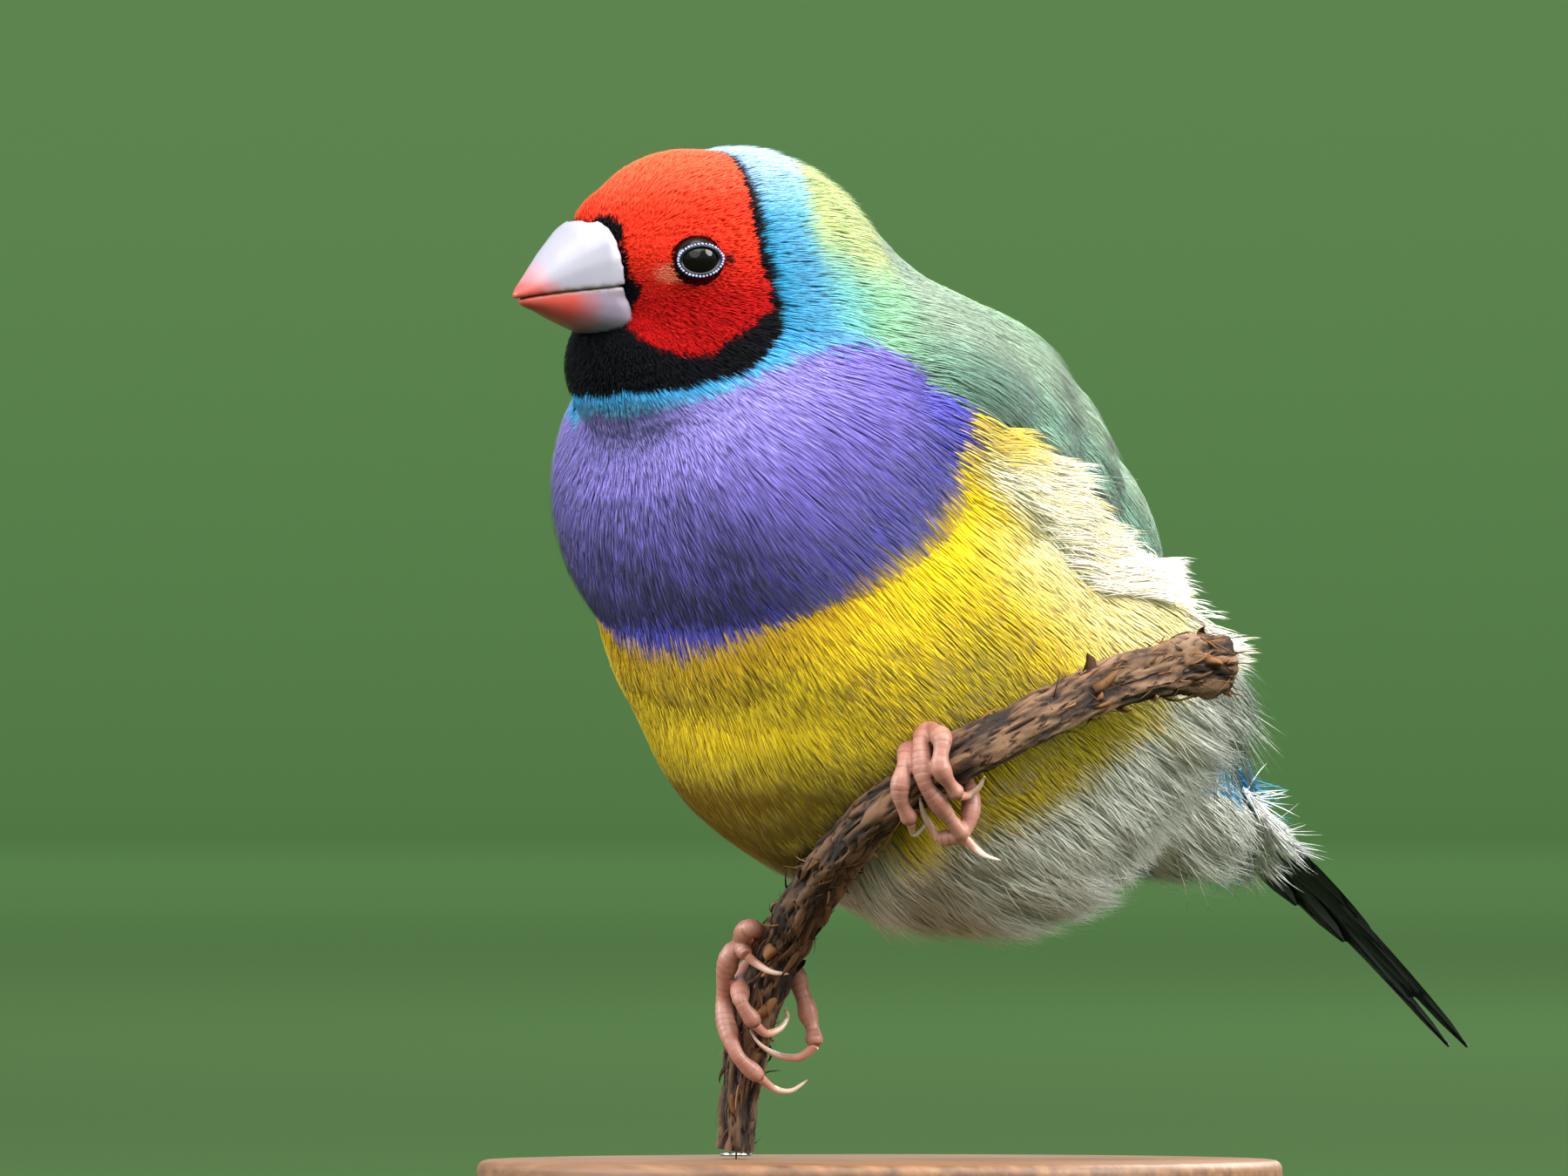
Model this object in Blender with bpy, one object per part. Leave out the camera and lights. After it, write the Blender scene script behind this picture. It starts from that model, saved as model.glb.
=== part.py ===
# A life-size gouldian finch, fluffed up and gripping a bent twig, on a small display stand.
# The bird faces -Y with its left side at +X. Lengths are written in millimetres and made metres by MM.
# Design points are measured from the middle of the torso's plane, and ORIGIN moves them to the row frame,
# whose origin is the centre of the base's underside.

import math

import bmesh
import bpy
import numpy as np
from mathutils import Matrix, Vector

MM = 0.001
GAP = 0.3  # clearance between neighbouring pieces

# Stand
BASE_RADIUS = 37.0
BASE_THICK = 5.0
BASE_BEVEL = 0.8
ROD_RADIUS = 1.5
FLOOR_Z = -57.5  # the floor's height in design coordinates
BASE_CENTRE = (0.0, -1.0)  # under the centre of mass
ORIGIN = Vector((BASE_CENTRE[0], BASE_CENTRE[1], FLOOR_Z))

# The photograph's viewing direction, which the twig's hand-chosen route is written in
VIEW_AZIMUTH = math.radians(46.0)
TORSO_ACROSS = 9.5  # how far right of the picture's middle the torso's centre lies

# Body
BODY_PITCH = 36.0
HEAD_YAW = -11.0
HEAD_PITCH = -4.0
HEAD_CENTRE = Vector((0.5, -25.9, 29.8))
EYE_FORWARD = 4.1
EYE_SIDE = 7.75
EYE_UP = 0.4
EYE_RADIUS = 2.3
EYE_TURN = 20.0  # how far the eye looks forwards of straight sideways
LID_LONG = 2.0
LID_TALL = 1.55
LID_THICK = 0.36
WELD = 0.0012
BODY_VOXEL = 0.9
BODY_KEEP = 0.095
WING_FACES = 2300
TAIL_FACES = 1400
LEG_FACES = 800

# Twig
TWIG_SIDES = 12
TWIG_STEP = 2.2

# Colours, linear RGB
SCARLET = (0.62, 0.03, 0.015)
SKY = (0.12, 0.46, 0.68)
VIOLET = (0.13, 0.08, 0.42)
LEAF = (0.17, 0.30, 0.14)
INK = (0.012, 0.012, 0.016)
IVORY = (0.78, 0.74, 0.74)
FLESH = (0.62, 0.33, 0.26)
HORN = (0.66, 0.50, 0.42)
BARK = (0.06, 0.038, 0.026)
OAK = (0.30, 0.18, 0.09)
STEEL = (0.55, 0.55, 0.56)


def clear_scene():
    for obj in list(bpy.data.objects):
        bpy.data.objects.remove(obj, do_unlink=True)


def finish_of(name, colour, roughness, metallic=0.0):
    material = bpy.data.materials.new(name)
    material.use_nodes = True
    shader = material.node_tree.nodes["Principled BSDF"]
    shader.inputs["Base Color"].default_value = (*colour, 1.0)
    shader.inputs["Roughness"].default_value = roughness
    shader.inputs["Metallic"].default_value = metallic
    return material


def in_row(point):
    """A design point in millimetres as a row-frame point in metres."""
    return (Vector(point) - ORIGIN) * MM


def mesh_object(name, points, faces):
    mesh = bpy.data.meshes.new(name)
    mesh.from_pydata([in_row(p) for p in points], [], faces)
    mesh.validate()
    obj = bpy.data.objects.new(name, mesh)
    bpy.context.scene.collection.objects.link(obj)
    return obj


def recalculate(obj):
    shape = bmesh.new()
    shape.from_mesh(obj.data)
    bmesh.ops.recalc_face_normals(shape, faces=shape.faces)
    shape.to_mesh(obj.data)
    shape.free()


def bake(obj):
    """Replaces the object's mesh by what its modifiers make of it."""
    bpy.context.view_layer.update()
    graph = bpy.context.evaluated_depsgraph_get()
    mesh = bpy.data.meshes.new_from_object(obj.evaluated_get(graph))
    obj.modifiers.clear()
    obj.data = mesh


def copy_of(obj, name):
    twin = obj.copy()
    twin.data = obj.data.copy()
    twin.name = name
    bpy.context.scene.collection.objects.link(twin)
    return twin


def remove(*objects):
    for obj in objects:
        bpy.data.objects.remove(obj, do_unlink=True)


def is_closed(obj):
    shape = bmesh.new()
    shape.from_mesh(obj.data)
    closed = all(edge.is_manifold for edge in shape.edges)
    shape.free()
    return closed


def boolean(obj, other, operation):
    change = obj.modifiers.new(operation.lower(), "BOOLEAN")
    change.operation = operation
    if isinstance(other, bpy.types.Collection):
        change.operand_type = "COLLECTION"
        change.collection = other
        operands = list(other.objects)
    else:
        change.object = other
        operands = [other]
    clean = all(is_closed(piece) for piece in [obj, *operands])
    change.solver = "MANIFOLD" if clean else "EXACT"
    bake(obj)


def islands_of(shape):
    unseen = set(shape.faces)
    islands = []
    while unseen:
        stack = [unseen.pop()]
        island = list(stack)
        while stack:
            for edge in stack.pop().edges:
                for face in edge.link_faces:
                    if face in unseen:
                        unseen.remove(face)
                        stack.append(face)
                        island.append(face)
        islands.append(island)
    return islands


def volume_of(island):
    total = 0.0
    for face in island:
        corners = [v.co for v in face.verts]
        for i in range(1, len(corners) - 1):
            total += corners[0].dot(corners[i].cross(corners[i + 1]))
    return abs(total)


def mend(shape):
    """Welds slivers away and closes the few faults that this leaves."""
    for attempt in range(6):
        bmesh.ops.remove_doubles(shape, verts=shape.verts, dist=WELD * MM)
        bmesh.ops.dissolve_degenerate(shape, edges=shape.edges, dist=WELD * MM)
        bmesh.ops.triangulate(shape, faces=[f for f in shape.faces if len(f.verts) > 3])
        crowded = [e for e in shape.edges if len(e.link_faces) > 2]
        loose = [e for e in shape.edges if len(e.link_faces) < 2]
        if not crowded and not loose:
            return
        bad = {face for edge in crowded for face in edge.link_faces}
        bmesh.ops.delete(shape, geom=list(bad), context="FACES")
        wires = [e for e in shape.edges if not e.link_faces]
        bmesh.ops.delete(shape, geom=wires, context="EDGES")
        rims = [e for e in shape.edges if len(e.link_faces) == 1]
        if rims:
            bmesh.ops.holes_fill(shape, edges=rims, sides=0)


def keep_largest(obj):
    """Keeps the one closed surface with the most volume."""
    shape = bmesh.new()
    shape.from_mesh(obj.data)
    mend(shape)
    islands = sorted(islands_of(shape), key=volume_of, reverse=True)
    scraps = [face for island in islands[1:] for face in island]
    bmesh.ops.delete(shape, geom=scraps, context="FACES")
    bmesh.ops.recalc_face_normals(shape, faces=shape.faces)
    shape.to_mesh(obj.data)
    shape.free()


def fuse(name, pieces):
    """Joins overlapping closed pieces into one closed body."""
    first, rest = pieces[0], pieces[1:]
    group = bpy.data.collections.new(name + "_pieces")
    bpy.context.scene.collection.children.link(group)
    for piece in rest:
        bpy.context.scene.collection.objects.unlink(piece)
        group.objects.link(piece)
    boolean(first, group, "UNION")
    remove(*rest)
    bpy.data.collections.remove(group)
    first.name = name
    keep_largest(first)
    return first


def thin_out(obj, faces):
    """Collapses the shortest and flattest edges until about that many triangles are left."""
    obj.data.calc_loop_triangles()
    count = len(obj.data.loop_triangles)
    if count <= faces:
        return
    thin = obj.modifiers.new("thin", "DECIMATE")
    thin.ratio = faces / count
    bake(obj)
    keep_largest(obj)


def swollen(obj, by):
    """A copy pushed outwards along its normals by that many millimetres."""
    twin = copy_of(obj, obj.name + "_swollen")
    mesh = twin.data
    normals = [v.normal.copy() for v in mesh.vertices]
    for vertex, normal in zip(mesh.vertices, normals):
        vertex.co += normal * by * MM
    return twin


def cut_clear(obj, neighbour, gap=GAP):
    """Cuts the object back so that it faces its neighbour across the gap."""
    cutter = swollen(neighbour, gap)
    boolean(obj, cutter, "DIFFERENCE")
    remove(cutter)
    keep_largest(obj)


def keep_side(obj, point, normal):
    """Cuts away what lies beyond a plane and closes the cut."""
    shape = bmesh.new()
    shape.from_mesh(obj.data)
    geometry = shape.verts[:] + shape.edges[:] + shape.faces[:]
    bmesh.ops.bisect_plane(
        shape,
        geom=geometry,
        plane_co=in_row(point),
        plane_no=normal,
        clear_outer=True,
        dist=1e-7,
    )
    rim = [edge for edge in shape.edges if edge.is_boundary]
    bmesh.ops.contextual_create(shape, geom=rim)
    bmesh.ops.triangulate(shape, faces=[f for f in shape.faces if len(f.verts) > 4])
    shape.to_mesh(obj.data)
    shape.free()


def smooth_line(knots, step):
    """Points about one step apart on a Catmull-Rom curve through the knots, each a tuple of any length."""
    knots = np.array(knots, float)
    padded = np.vstack([2 * knots[0] - knots[1], knots, 2 * knots[-1] - knots[-2]])
    found = []
    for i in range(1, len(padded) - 2):
        a, b, c, d = padded[i - 1 : i + 3]
        count = max(1, round(float(np.linalg.norm((c - b)[:3])) / step))
        for k in range(count):
            t = k / count
            found.append(
                0.5 * (2 * b + (c - a) * t + (2 * a - 5 * b + 4 * c - d) * t**2)
                + 0.5 * (3 * b - a - 3 * c + d) * t**3
            )
    found.append(knots[-1])
    return np.array(found)


def frames_along(points):
    """A tangent and two normals at each point, carried along without twist."""
    tangents = np.gradient(points, axis=0)
    tangents /= np.linalg.norm(tangents, axis=1)[:, None]
    side = np.cross(tangents[0], (0.0, 0.0, 1.0))
    if np.linalg.norm(side) < 0.2:
        side = np.cross(tangents[0], (0.0, 1.0, 0.0))
    sides = []
    for tangent in tangents:
        side = side - tangent * (side @ tangent)
        side = side / np.linalg.norm(side)
        sides.append(side)
    sides = np.array(sides)
    return tangents, sides, np.cross(sides, tangents)


def loft(name, rings):
    """A closed mesh through rings of equally many points, with a fan of triangles at each end."""
    count = len(rings[0])
    points = [tuple(p) for ring in rings for p in ring]
    faces = []
    for i in range(len(rings) - 1):
        for k in range(count):
            a, b = i * count + k, i * count + (k + 1) % count
            faces += [(a, b, b + count), (a, b + count, a + count)]
    for ring, turn in ((0, -1), (len(rings) - 1, 1)):
        centre = len(points)
        points.append(tuple(np.mean(rings[ring], axis=0)))
        for k in range(count):
            pair = (ring * count + k, ring * count + (k + 1) % count)
            faces.append((centre, *pair[::turn]))
    obj = mesh_object(name, points, faces)
    recalculate(obj)
    return obj


def tube(name, points, radii, sides):
    tangents, across, up = frames_along(np.array(points, float))
    turns = [2 * math.pi * k / sides for k in range(sides)]
    rings = [
        [p + r * (math.cos(t) * a + math.sin(t) * u) for t in turns]
        for p, r, a, u in zip(points, radii, across, up)
    ]
    return loft(name, rings)


def ellipsoid(name, centre, radii, pitch=0.0, yaw=0.0, rings=24, sides=32):
    """Radii are sideways, along and up; pitch lifts the front end and yaw turns it to the left."""
    turn = Matrix.Rotation(math.radians(yaw), 3, "Z") @ Matrix.Rotation(
        math.radians(-pitch), 3, "X"
    )
    found = []
    for i in range(rings):
        lean = math.pi * (i + 0.5) / rings
        ring = []
        for k in range(sides):
            t = 2 * math.pi * k / sides
            local = Vector(
                (
                    radii[0] * math.sin(lean) * math.cos(t),
                    radii[1] * math.cos(lean),
                    radii[2] * math.sin(lean) * math.sin(t),
                )
            )
            ring.append(np.array(turn @ local + Vector(centre)))
        found.append(ring)
    return loft(name, found)


def head_point(forward, side, up):
    """A point in the head's own frame, whose forward axis is the bill's."""
    turn = Matrix.Rotation(math.radians(HEAD_YAW), 3, "Z") @ Matrix.Rotation(
        math.radians(-HEAD_PITCH), 3, "X"
    )
    return turn @ Vector((side, -forward, up)) + HEAD_CENTRE


def view_point(across, away, up):
    """A design point from its place in the photograph's view: right of the middle, away from the camera, up."""
    across -= TORSO_ACROSS
    c, s = math.cos(VIEW_AZIMUTH), math.sin(VIEW_AZIMUTH)
    return np.array((across * c - away * s, across * s + away * c, up))


def whole_body():
    """Torso, neck and head as one smooth closed surface."""
    yaw = HEAD_YAW
    lumps = [
        ellipsoid("torso_core", (0, 0, -3), (24.2, 35.0, 24.2), BODY_PITCH),
        ellipsoid("breast", (0, -13.8, 9.2), (22.0, 20.2, 20.0), BODY_PITCH),
        ellipsoid("belly", (0, -2.5, -7.0), (21.5, 24.0, 20.8), 20),
        ellipsoid("rear_belly", (0, 12.5, -10.5), (20.5, 19.0, 20.5), 24),
        ellipsoid("flank_left", (11.5, 12.0, -3.8), (13.4, 19.0, 15.0), 32, -8),
        ellipsoid("flank_right", (-11.5, 12.0, -3.8), (13.4, 19.0, 15.0), 32, 8),
        ellipsoid("vent", (0, 31, -16.0), (10.5, 15.0, 9.6), 28),
        ellipsoid("rump", (0, 26, -7.5), (11.0, 20.0, 9.0), 38),
        ellipsoid("mantle", (0, -6, 15.8), (19.0, 21.5, 13.6), 42),
        ellipsoid("neck_form", (0.2, -19.0, 20.0), (14.5, 13.5, 15.5), 58),
        ellipsoid("nape", (0.3, -18.0, 27.4), (12.8, 14.2, 12.2), 40, yaw),
        ellipsoid("skull", head_point(0, 0, 0.2), (10.1, 10.9, 10.5), 0, yaw),
        ellipsoid("brow", head_point(5.2, 0, 3.4), (4.8, 7.2, 4.6), 0, yaw),
        ellipsoid("cheeks", head_point(0.2, 0, -4.6), (9.9, 9.6, 8.4), 0, yaw),
        ellipsoid("throat", head_point(3.0, 0, -10.4), (9.4, 10.2, 7.8), 20, yaw),
    ]
    body = fuse("whole_body", lumps)
    remesh = body.modifiers.new("remesh", "REMESH")
    remesh.mode = "VOXEL"
    remesh.voxel_size = BODY_VOXEL * MM
    remesh.adaptivity = 0.0
    bake(body)
    smooth = body.modifiers.new("smooth", "SMOOTH")
    smooth.factor = 0.5
    smooth.iterations = 14
    thin = body.modifiers.new("thin", "DECIMATE")
    thin.ratio = BODY_KEEP
    bake(body)
    return body


# The bill as rings from its root to its tip: forward of the head's centre, height of the ring's middle,
# half width, half depth above the mouth and half depth below it.
BILL_RINGS = (
    (6.0, -1.4, 4.5, 7.2, 4.8),
    (9.0, -1.5, 4.6, 7.1, 4.7),
    (11.0, -1.6, 4.25, 6.7, 4.2),
    (12.9, -1.65, 3.6, 5.5, 3.4),
    (15.2, -1.75, 2.5, 3.55, 2.3),
    (17.2, -1.9, 1.4, 1.65, 1.15),
    (18.4, -2.05, 0.65, 0.65, 0.55),
    (18.9, -2.15, 0.25, 0.28, 0.25),
)
BILL_SQUARE = 0.8  # below 1 fills the corners of the bill's cross-section
BILL_SIDES = 12


def bill_half(name, upper):
    """One mandible: half of each ring, closed by a nearly flat mouth side."""
    rings = []
    for forward, middle, wide, above, below in BILL_RINGS:
        reach = forward if upper else 6.0 + (forward - 6.0) * 0.955
        tall = above if upper else below
        sign = 1 if upper else -1
        ring = []
        for k in range(BILL_SIDES + 1):
            t = math.pi * k / BILL_SIDES
            lean = math.copysign(abs(math.cos(t)) ** BILL_SQUARE, math.cos(t))
            side = wide * lean * (1.0 if upper else 0.95)
            up = middle + sign * (GAP / 2 + tall * max(0.0, math.sin(t)) ** BILL_SQUARE)
            ring.append(np.array(head_point(reach, side, up)))
        for share in (-0.5, 0.0, 0.5):
            up = middle + sign * GAP / 2
            ring.append(np.array(head_point(reach, wide * share, up)))
        rings.append(ring)
    return loft(name, rings)


def eye_point(side, along, up, out):
    """A point in an eye's own frame: towards the bill, up and straight out of the eye."""
    turn = math.radians(EYE_TURN)
    forward = along * math.cos(turn) + out * math.sin(turn)
    away = out * math.cos(turn) - along * math.sin(turn)
    return head_point(EYE_FORWARD + forward, side * (EYE_SIDE + away), EYE_UP + up)


def eye(name, side):
    return ellipsoid(
        name, eye_point(side, 0, 0, 0), (EYE_RADIUS,) * 3, 0, HEAD_YAW, 9, 14
    )


def eyelid(name, side):
    """An almond ring of bare skin that stands on the head round the eye."""
    count, sides = 20, 5
    rings = []
    for i in range(count):
        t = 2 * math.pi * i / count
        ring = []
        for k in range(sides):
            turn = 2 * math.pi * k / sides
            reach = 1 + LID_THICK * math.cos(turn) / LID_LONG
            along = LID_LONG * math.cos(t) * reach
            up = LID_TALL * math.sin(t) * reach
            flat = (LID_LONG * math.cos(t)) ** 2 + (LID_TALL * math.sin(t)) ** 2
            out = math.sqrt(EYE_RADIUS**2 - flat) + LID_THICK * math.sin(turn)
            ring.append(tuple(eye_point(side, along, up, out)))
        rings.append(ring)
    points = [p for ring in rings for p in ring]
    faces = []
    for i in range(count):
        j = (i + 1) % count
        for k in range(sides):
            m = (k + 1) % sides
            a, b = i * sides + k, i * sides + m
            c, d = j * sides + m, j * sides + k
            faces += [(a, b, c), (a, c, d)]
    lid = mesh_object(name, points, faces)
    recalculate(lid)
    return lid


# The folded wing lies on a surface turned round the body's axis. Its radius at places along the axis,
# counted from the torso's middle towards the breast.
WING_AXIS = (0.0, 0.0, -3.0)
WING_PITCH = 37.0
WING_RADII = (
    (-60.0, 11.5),
    (-50.0, 13.6),
    (-40.0, 16.4),
    (-30.0, 19.2),
    (-22.0, 21.4),
    (-12.0, 23.9),
    (-6.0, 25.7),
    (0.0, 27.2),
    (6.0, 28.1),
    (12.0, 28.0),
    (19.0, 26.8),
    (25.0, 25.2),
)


def wing_point(along, turn, height):
    """A point on the wing's surface: along the body's axis, degrees from the back's middle, millimetres proud."""
    places, radii = zip(*WING_RADII)
    radius = float(np.interp(along, places, radii)) + height
    pitch = math.radians(WING_PITCH)
    axis = Vector((0, -math.cos(pitch), math.sin(pitch)))
    back = Vector((0, math.sin(pitch), math.cos(pitch)))
    t = math.radians(turn)
    ray = back * math.cos(t) + Vector((math.sin(t), 0, 0))
    return np.array(Vector(WING_AXIS) + axis * along + ray * radius)


def vane(name, place, root, tip, wide, thick, sections=4, tilt=0.0, point=0.45):
    """One flat feather on a chart. place(along, turn, height) gives a point; root and tip are chart points;
    wide is in millimetres, tilt lifts one edge over the next feather and point is the share that tapers."""
    root, tip = np.array(root, float), np.array(tip, float)
    rings = []
    for i in range(sections + 1):
        t = i / sections
        t = t if i < 2 else 1 - (1 - t) ** 1.25
        along, turn, height = root + (tip - root) * t
        if t < 1 - point:
            half = 0.5 * wide * min(1.0, 0.6 + 1.5 * t)
        else:
            left = (1 - t) / point
            half = 0.5 * wide * (0.16 + 0.84 * math.sqrt(max(0.0, 1 - (1 - left) ** 2)))
        centre = place(along, turn, height)
        beside = place(along, turn + 1.0, height)
        spread = half / np.linalg.norm(beside - centre)
        ring = []
        for share, lift in ((-1, 0), (0, 0.15), (1, 0)):
            rise = lift + thick / 2 + tilt * share * half * 2 / wide
            ring.append(place(along, turn + spread * share, height + rise))
        for share, lift in ((1, 0), (0, 0.05), (-1, 0)):
            rise = lift - thick / 2 + tilt * share * half * 2 / wide
            ring.append(place(along, turn + spread * share, height + rise))
        rings.append(ring)
    return vane_mesh(name, rings)


def vane_mesh(name, rings):
    """Joins a vane's cross-sections, with the same diagonals on both faces."""
    count = len(rings[0])
    points = [tuple(p) for ring in rings for p in ring]
    faces = []
    for i in range(len(rings) - 1):
        for k in range(count):
            m = (k + 1) % count
            a, b = i * count + k, i * count + m
            c, d = b + count, a + count
            if k in (0, 1):
                faces += [(a, b, c), (a, c, d)]
            else:
                faces += [(a, b, d), (b, c, d)]
    for start in (0, (len(rings) - 1) * count):
        a, b, c, d, e, f = range(start, start + 6)
        faces += [(a, b, f), (b, e, f), (b, c, e), (c, d, e)]
    obj = mesh_object(name, points, faces)
    recalculate(obj)
    return obj


# Each tier of the wing: how many vanes, then root and tip of its lowest and of its topmost vane on the chart,
# and the vanes' width. Heights are below the folded wing's outer surface.
WING_TIERS = {
    "primary": (6, (9, 60, -2.2), (-28, 44, -1.8), (6, 42, -2.2), (-46, 11, -1.3), 4.4, 4),
    "secondary": (4, (6, 57, -2.1), (-21, 49, -1.2), (3, 38, -2.1), (-28, 27, -0.9), 5.2, 4),
    "tertial": (3, (4, 34, -2.0), (-30, 24, -0.7), (4, 20, -2.0), (-20, 17, -0.2), 6.0, 4),
    "greater": (6, (12, 60, -2.2), (-5, 58, -0.7), (11, 19, -2.2), (-10, 18, -0.1), 6.4, 3),
    "median": (5, (18, 60, -2.2), (4, 59, -0.6), (17, 20, -2.2), (2, 18, 0.0), 7.2, 3),
    "lesser": (4, (24, 58, -2.2), (11, 57, -0.6), (24, 26, -2.2), (10, 21, 0.1), 8.0, 3),
}
VANE_THICK = 0.55
VANE_TILT = 0.6
WING_FRONT = 25.0
WING_BED = -3.6


def wing(side_name, side):
    def place(along, turn, height):
        point = wing_point(along, turn, height)
        point[0] *= side
        return point

    pieces = [wing_core("core_" + side_name, place)]
    for tier, form in WING_TIERS.items():
        count, root_a, tip_a, root_b, tip_b, wide, sections = form
        for i in range(count):
            share = i / (count - 1)
            root = np.array(root_a) * (1 - share) + np.array(root_b) * share
            tip = np.array(tip_a) * (1 - share) + np.array(tip_b) * share
            name = f"{tier}_{side_name}_{i}"
            pieces.append(
                vane(name, place, root, tip, wide, VANE_THICK, sections, VANE_TILT, 0.4)
            )
    piece = fuse("wing_" + side_name, pieces)
    thin_out(piece, WING_FACES)
    return piece


def wing_outline(share):
    """The wing's lower and upper edges in degrees at a share of its length from the shoulder."""
    swell = math.sin(math.pi * min(1.0, 0.16 + 0.84 * share)) ** 0.5 if share < 0.9 else 0.56
    return 42.0 + 21.0 * swell, 38.0 - 22.0 * swell


def wing_core(name, place):
    """The feathered arm and hand: a flat lens that the vanes grow from."""
    rings = []
    for i in range(7):
        t = i / 6
        along = WING_FRONT - 1.5 - 38.0 * t
        low, high = wing_outline(0.75 * t)
        ring = []
        for k in range(6):
            turn = high + (low - high) * k / 5
            ring.append(place(along, turn, -1.5 if 0 < k < 5 else -2.3))
        for k in range(5, -1, -1):
            turn = high + (low - high) * k / 5
            ring.append(place(along, turn, WING_BED + GAP))
        rings.append(ring)
    return loft(name, rings)


def wing_bed(name, side):
    """The room that the folded wing takes out of the body."""
    rings = []
    for i in range(12):
        t = i / 11
        along = WING_FRONT + 0.5 - 78.0 * t
        low, high = (67.0, 8.0) if t > 0.06 else (65.0, 16.0)
        if t > 0.45:
            high = 8.0 - 6.0 * (t - 0.45)
        ring = []
        for height in (WING_BED, 8.0):
            for k in range(7):
                share = k / 6 if height < 0 else 1 - k / 6
                point = wing_point(along, high + (low - high) * share, height)
                ring.append(np.array((point[0] * side, point[1], point[2])))
        rings.append(ring)
    return loft(name, rings)


TAIL_ROOT = (0.0, 33.0, -12.5)
TAIL_PITCH = 33.0
TAIL_PAIRS = 6


def tail_point(along, side, height):
    """A point in the tail's frame: millimetres behind the root, to the left, and above the tail's plane."""
    pitch = math.radians(TAIL_PITCH)
    axis = Vector((0, math.cos(pitch), -math.sin(pitch)))
    up = Vector((0, math.sin(pitch), math.cos(pitch)))
    droop = -0.0012 * max(0.0, along) ** 2
    return np.array(
        Vector(TAIL_ROOT) + axis * along + up * (height + droop) + Vector((side, 0, 0))
    )


def tail():
    """Six pairs of tail feathers stacked under the long middle pair, with coverts above and below the root."""
    pieces = []
    for pair in range(TAIL_PAIRS):
        for side in (1, -1):
            length = 50.0 - 6.2 * pair if pair else 60.0
            spread = 1.1 + 0.62 * pair
            root = (-9.0, side * 0.5 * spread, -0.45 * pair)
            tip = (length - 9.0, side * (spread + (0.4 * pair if pair else 0.1)), -0.45 * pair)
            wide = 4.4 if pair else 3.2
            point = 0.35 if pair else 0.75
            name = f"rectrix_{pair}_{side}"
            pieces.append(
                vane(name, tail_point, root, tip, wide, 0.55, point=point)
            )
    for row, (start, end, wide, count, height) in enumerate(
        ((-10, 12, 5.4, 5, 1.0), (-12, 5, 6.4, 4, 1.9))
    ):
        for i in range(count):
            share = i / (count - 1) - 0.5
            root = (start, share * 7.0, height - 0.6)
            tip = (end - 5 * abs(share), share * 10.0, height - 1.6 * abs(share))
            name = f"rump_covert_{row}_{i}"
            pieces.append(vane(name, tail_point, root, tip, wide, 0.8, 3, point=0.55))
    for row, (start, end, wide, count, height) in enumerate(
        ((-8, 20, 5.6, 5, -4.2), (-10, 13, 7.0, 5, -6.0), (-12, 6, 8.0, 5, -7.6))
    ):
        for i in range(count):
            share = i / (count - 1) - 0.5
            root = (start, share * 9.0, height + 1.5 - 1.5 * abs(share))
            tip = (end - 7 * abs(share), share * 13.0, height + 3.2 * abs(share))
            name = f"under_covert_{row}_{i}"
            pieces.append(vane(name, tail_point, root, tip, wide, 1.5, 3, point=0.6))
    core = [
        [
            tail_point(along, wide * math.cos(t), mid + tall * math.sin(t))
            for t in (2 * math.pi * k / 10 for k in range(10))
        ]
        for along, wide, tall, mid in (
            (-12, 5.2, 4.6, -2.2),
            (-4, 5.8, 4.6, -2.2),
            (4, 4.8, 3.2, -1.8),
            (10, 3.2, 1.8, -1.4),
        )
    ]
    pieces.insert(0, loft("tail_core", core))
    piece = fuse("tail", pieces)
    thin_out(piece, TAIL_FACES)
    return piece


# The twig's route in the photograph's view, from its lower cut end to its upper one: right of the picture's
# middle, away from the camera, up, and the twig's radius there.
TWIG_ROUTE = (
    (-4.4, 3.2, -51.6, 1.9),
    (-4.0, 2.6, -46.8, 2.0),
    (-3.2, 1.4, -42.0, 2.15),
    (-2.0, 0.0, -37.2, 2.25),
    (0.0, -3.4, -32.4, 2.4),
    (2.4, -8.2, -28.0, 2.55),
    (5.2, -14.0, -24.0, 2.5),
    (8.8, -18.6, -20.4, 2.4),
    (12.8, -20.0, -17.6, 2.4),
    (16.8, -21.2, -15.2, 2.45),
    (21.6, -21.2, -12.8, 2.4),
    (26.4, -20.0, -10.2, 2.4),
    (31.2, -17.5, -8.4, 2.6),
    (36.0, -14.6, -7.2, 2.8),
    (40.4, -12.6, -6.9, 2.9),
)

def twig_line():
    knots = [(*view_point(a, b, c), r) for a, b, c, r in TWIG_ROUTE]
    return smooth_line(knots, TWIG_STEP)


def twig():
    """The bark is ridged along the twig, with knots and a flared upper end."""
    line = twig_line()
    points, radii = line[:, :3], line[:, 3]
    tangents, across, up = frames_along(points)
    draw = np.random.default_rng(7)
    phases = draw.uniform(0, 2 * math.pi, 6)
    rings = []
    for i, (p, r, a, u) in enumerate(zip(points, radii, across, up)):
        ring = []
        for k in range(TWIG_SIDES):
            t = 2 * math.pi * k / TWIG_SIDES
            ridge = 0.05 * math.sin(3 * t + 0.21 * i + phases[0])
            ridge += 0.035 * math.sin(5 * t - 0.33 * i + phases[1])
            ridge += 0.03 * math.sin(0.9 * i + phases[2] + t)
            ring.append(p + r * (0.97 + ridge) * (math.cos(t) * a + math.sin(t) * u))
        rings.append(ring)
    return loft("perch", rings)


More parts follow.
